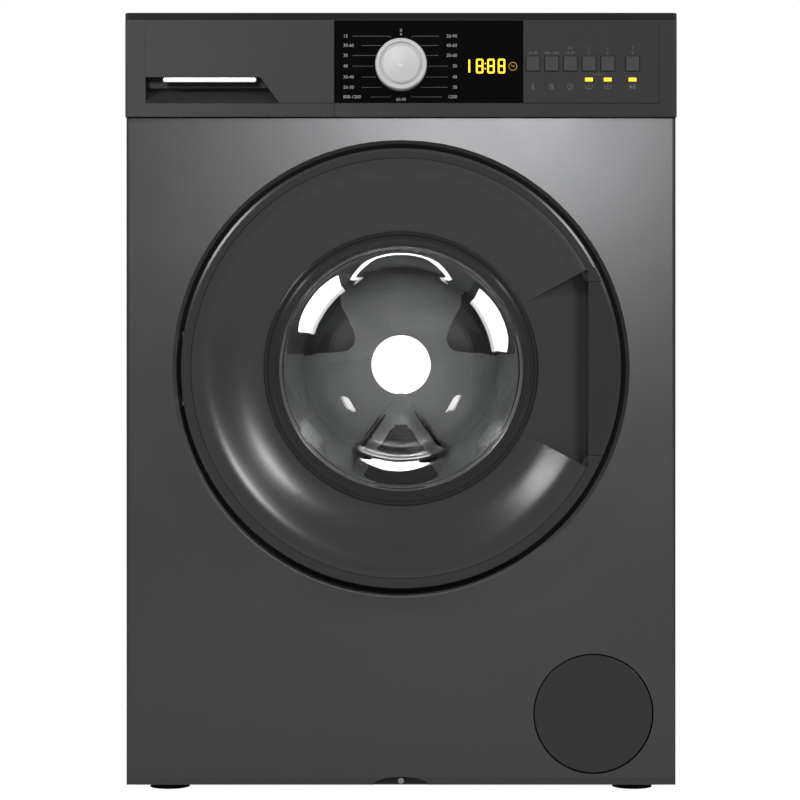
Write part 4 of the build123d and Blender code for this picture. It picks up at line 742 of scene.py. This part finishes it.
def card(name, angle, spread, radius, length, power):
    """A small card inside the bowl, seen only as its reflection in the glass wall."""
    a = math.radians(angle)
    x, z = radius * math.cos(a), DOOR_Z + 0.008 + radius * math.sin(a)
    width = 2 * radius * math.tan(math.radians(spread))
    lamp = light(name, (x, FRONT + 0.088, z), (x, FRONT - 1, z), power, width, length)
    roll = Matrix.Rotation(-(a - math.pi / 2), 4, "Y")
    lamp.rotation_euler = (roll @ Matrix.Rotation(-math.pi / 2, 4, "X")).to_euler()
    lamp.visible_camera = False
    lamp.visible_transmission = False
    lamp.visible_diffuse = False
    only_on(lamp, name + "_on", [glass])


light("softbox_left", (-1.65, -1.75, 1.75), (-0.1, -0.25, 0.45), 17, 0.5, 0.6)
softbox = light("softbox_right", (1.65, -1.75, 1.75), (0.1, -0.25, 0.45), 15, 0.55, 0.55)
only_on(softbox, "not_cover", [NODES["door_cover"]], "EXCLUDE")

# each lamp lights one group of parts: name, place, what it aims at, power, width, height and the parts
LAMPS = [
    ("dish_light", (0.99, -1.78, 1.2), (0.05, -0.25, 0.45), 13, 0.42, 0.42, [NODES["door_cover"]]),
    ("sheet_light", (0.19, -2.85, 1.12), (0.11, -0.25, 0.75), 12.5, 0.28, 0.3, [NODES["front_panel"]]),
    ("panel_light", (-0.6, -2.85, 1.2), (-0.2, -0.25, 0.8), 6, 0.4, 0.4,
     [NODES["control_fascia"], NODES["drawer_front"]]),
    ("trim_light", (-0.3, -2.3, 1.6), (-0.1, -0.25, 0.78), 66, 0.5, 0.5, [grip]),
    ("knob_light", (-0.3, -2.3, 1.6), (-0.1, -0.25, 0.78), 8, 0.5, 0.5, [NODES["program_knob"]]),
    ("rim_light", (0.5, -0.55, 2.4), (0, -0.28, 0.46), 9, 0.5, 0.5, [NODES["door_rim"]]),
]
for name, place, aim, power, width, height, parts in LAMPS:
    only_on(light(name, place, aim, power, width, height), name + "_on", parts)
disc = light("bowl_light", (0, -2.95, 0.507), (0, -0.25, 0.46), 3.6, 0.24, 0.24, "DISK")
only_on(disc, "bowl_light_on", [glass])

card("card_left", 145, 17, 0.095, 0.020, 0.03)
card("card_right", 24, 17, 0.095, 0.020, 0.03)
card("card_foot", 267, 19, 0.094, 0.020, 0.04)
card("card_top", 90, 31, 0.087, 0.003, 0.007)

# ------------------------------------------------------------------ camera

DISTANCE = 2.6  # from the front sheet
VIEW_WIDTH = 0.86767  # how wide the picture is at the front sheet

camera_data = bpy.data.cameras.new("camera")
camera_data.sensor_width = 36
camera_data.lens = camera_data.sensor_width * DISTANCE / VIEW_WIDTH
camera = place_object("camera", camera_data)
camera.location = (-0.0011, FRONT - DISTANCE, 0.4261)
camera.rotation_euler = (math.pi / 2, 0, 0)
bpy.context.scene.camera = camera
bpy.context.scene.view_settings.view_transform = "Standard"
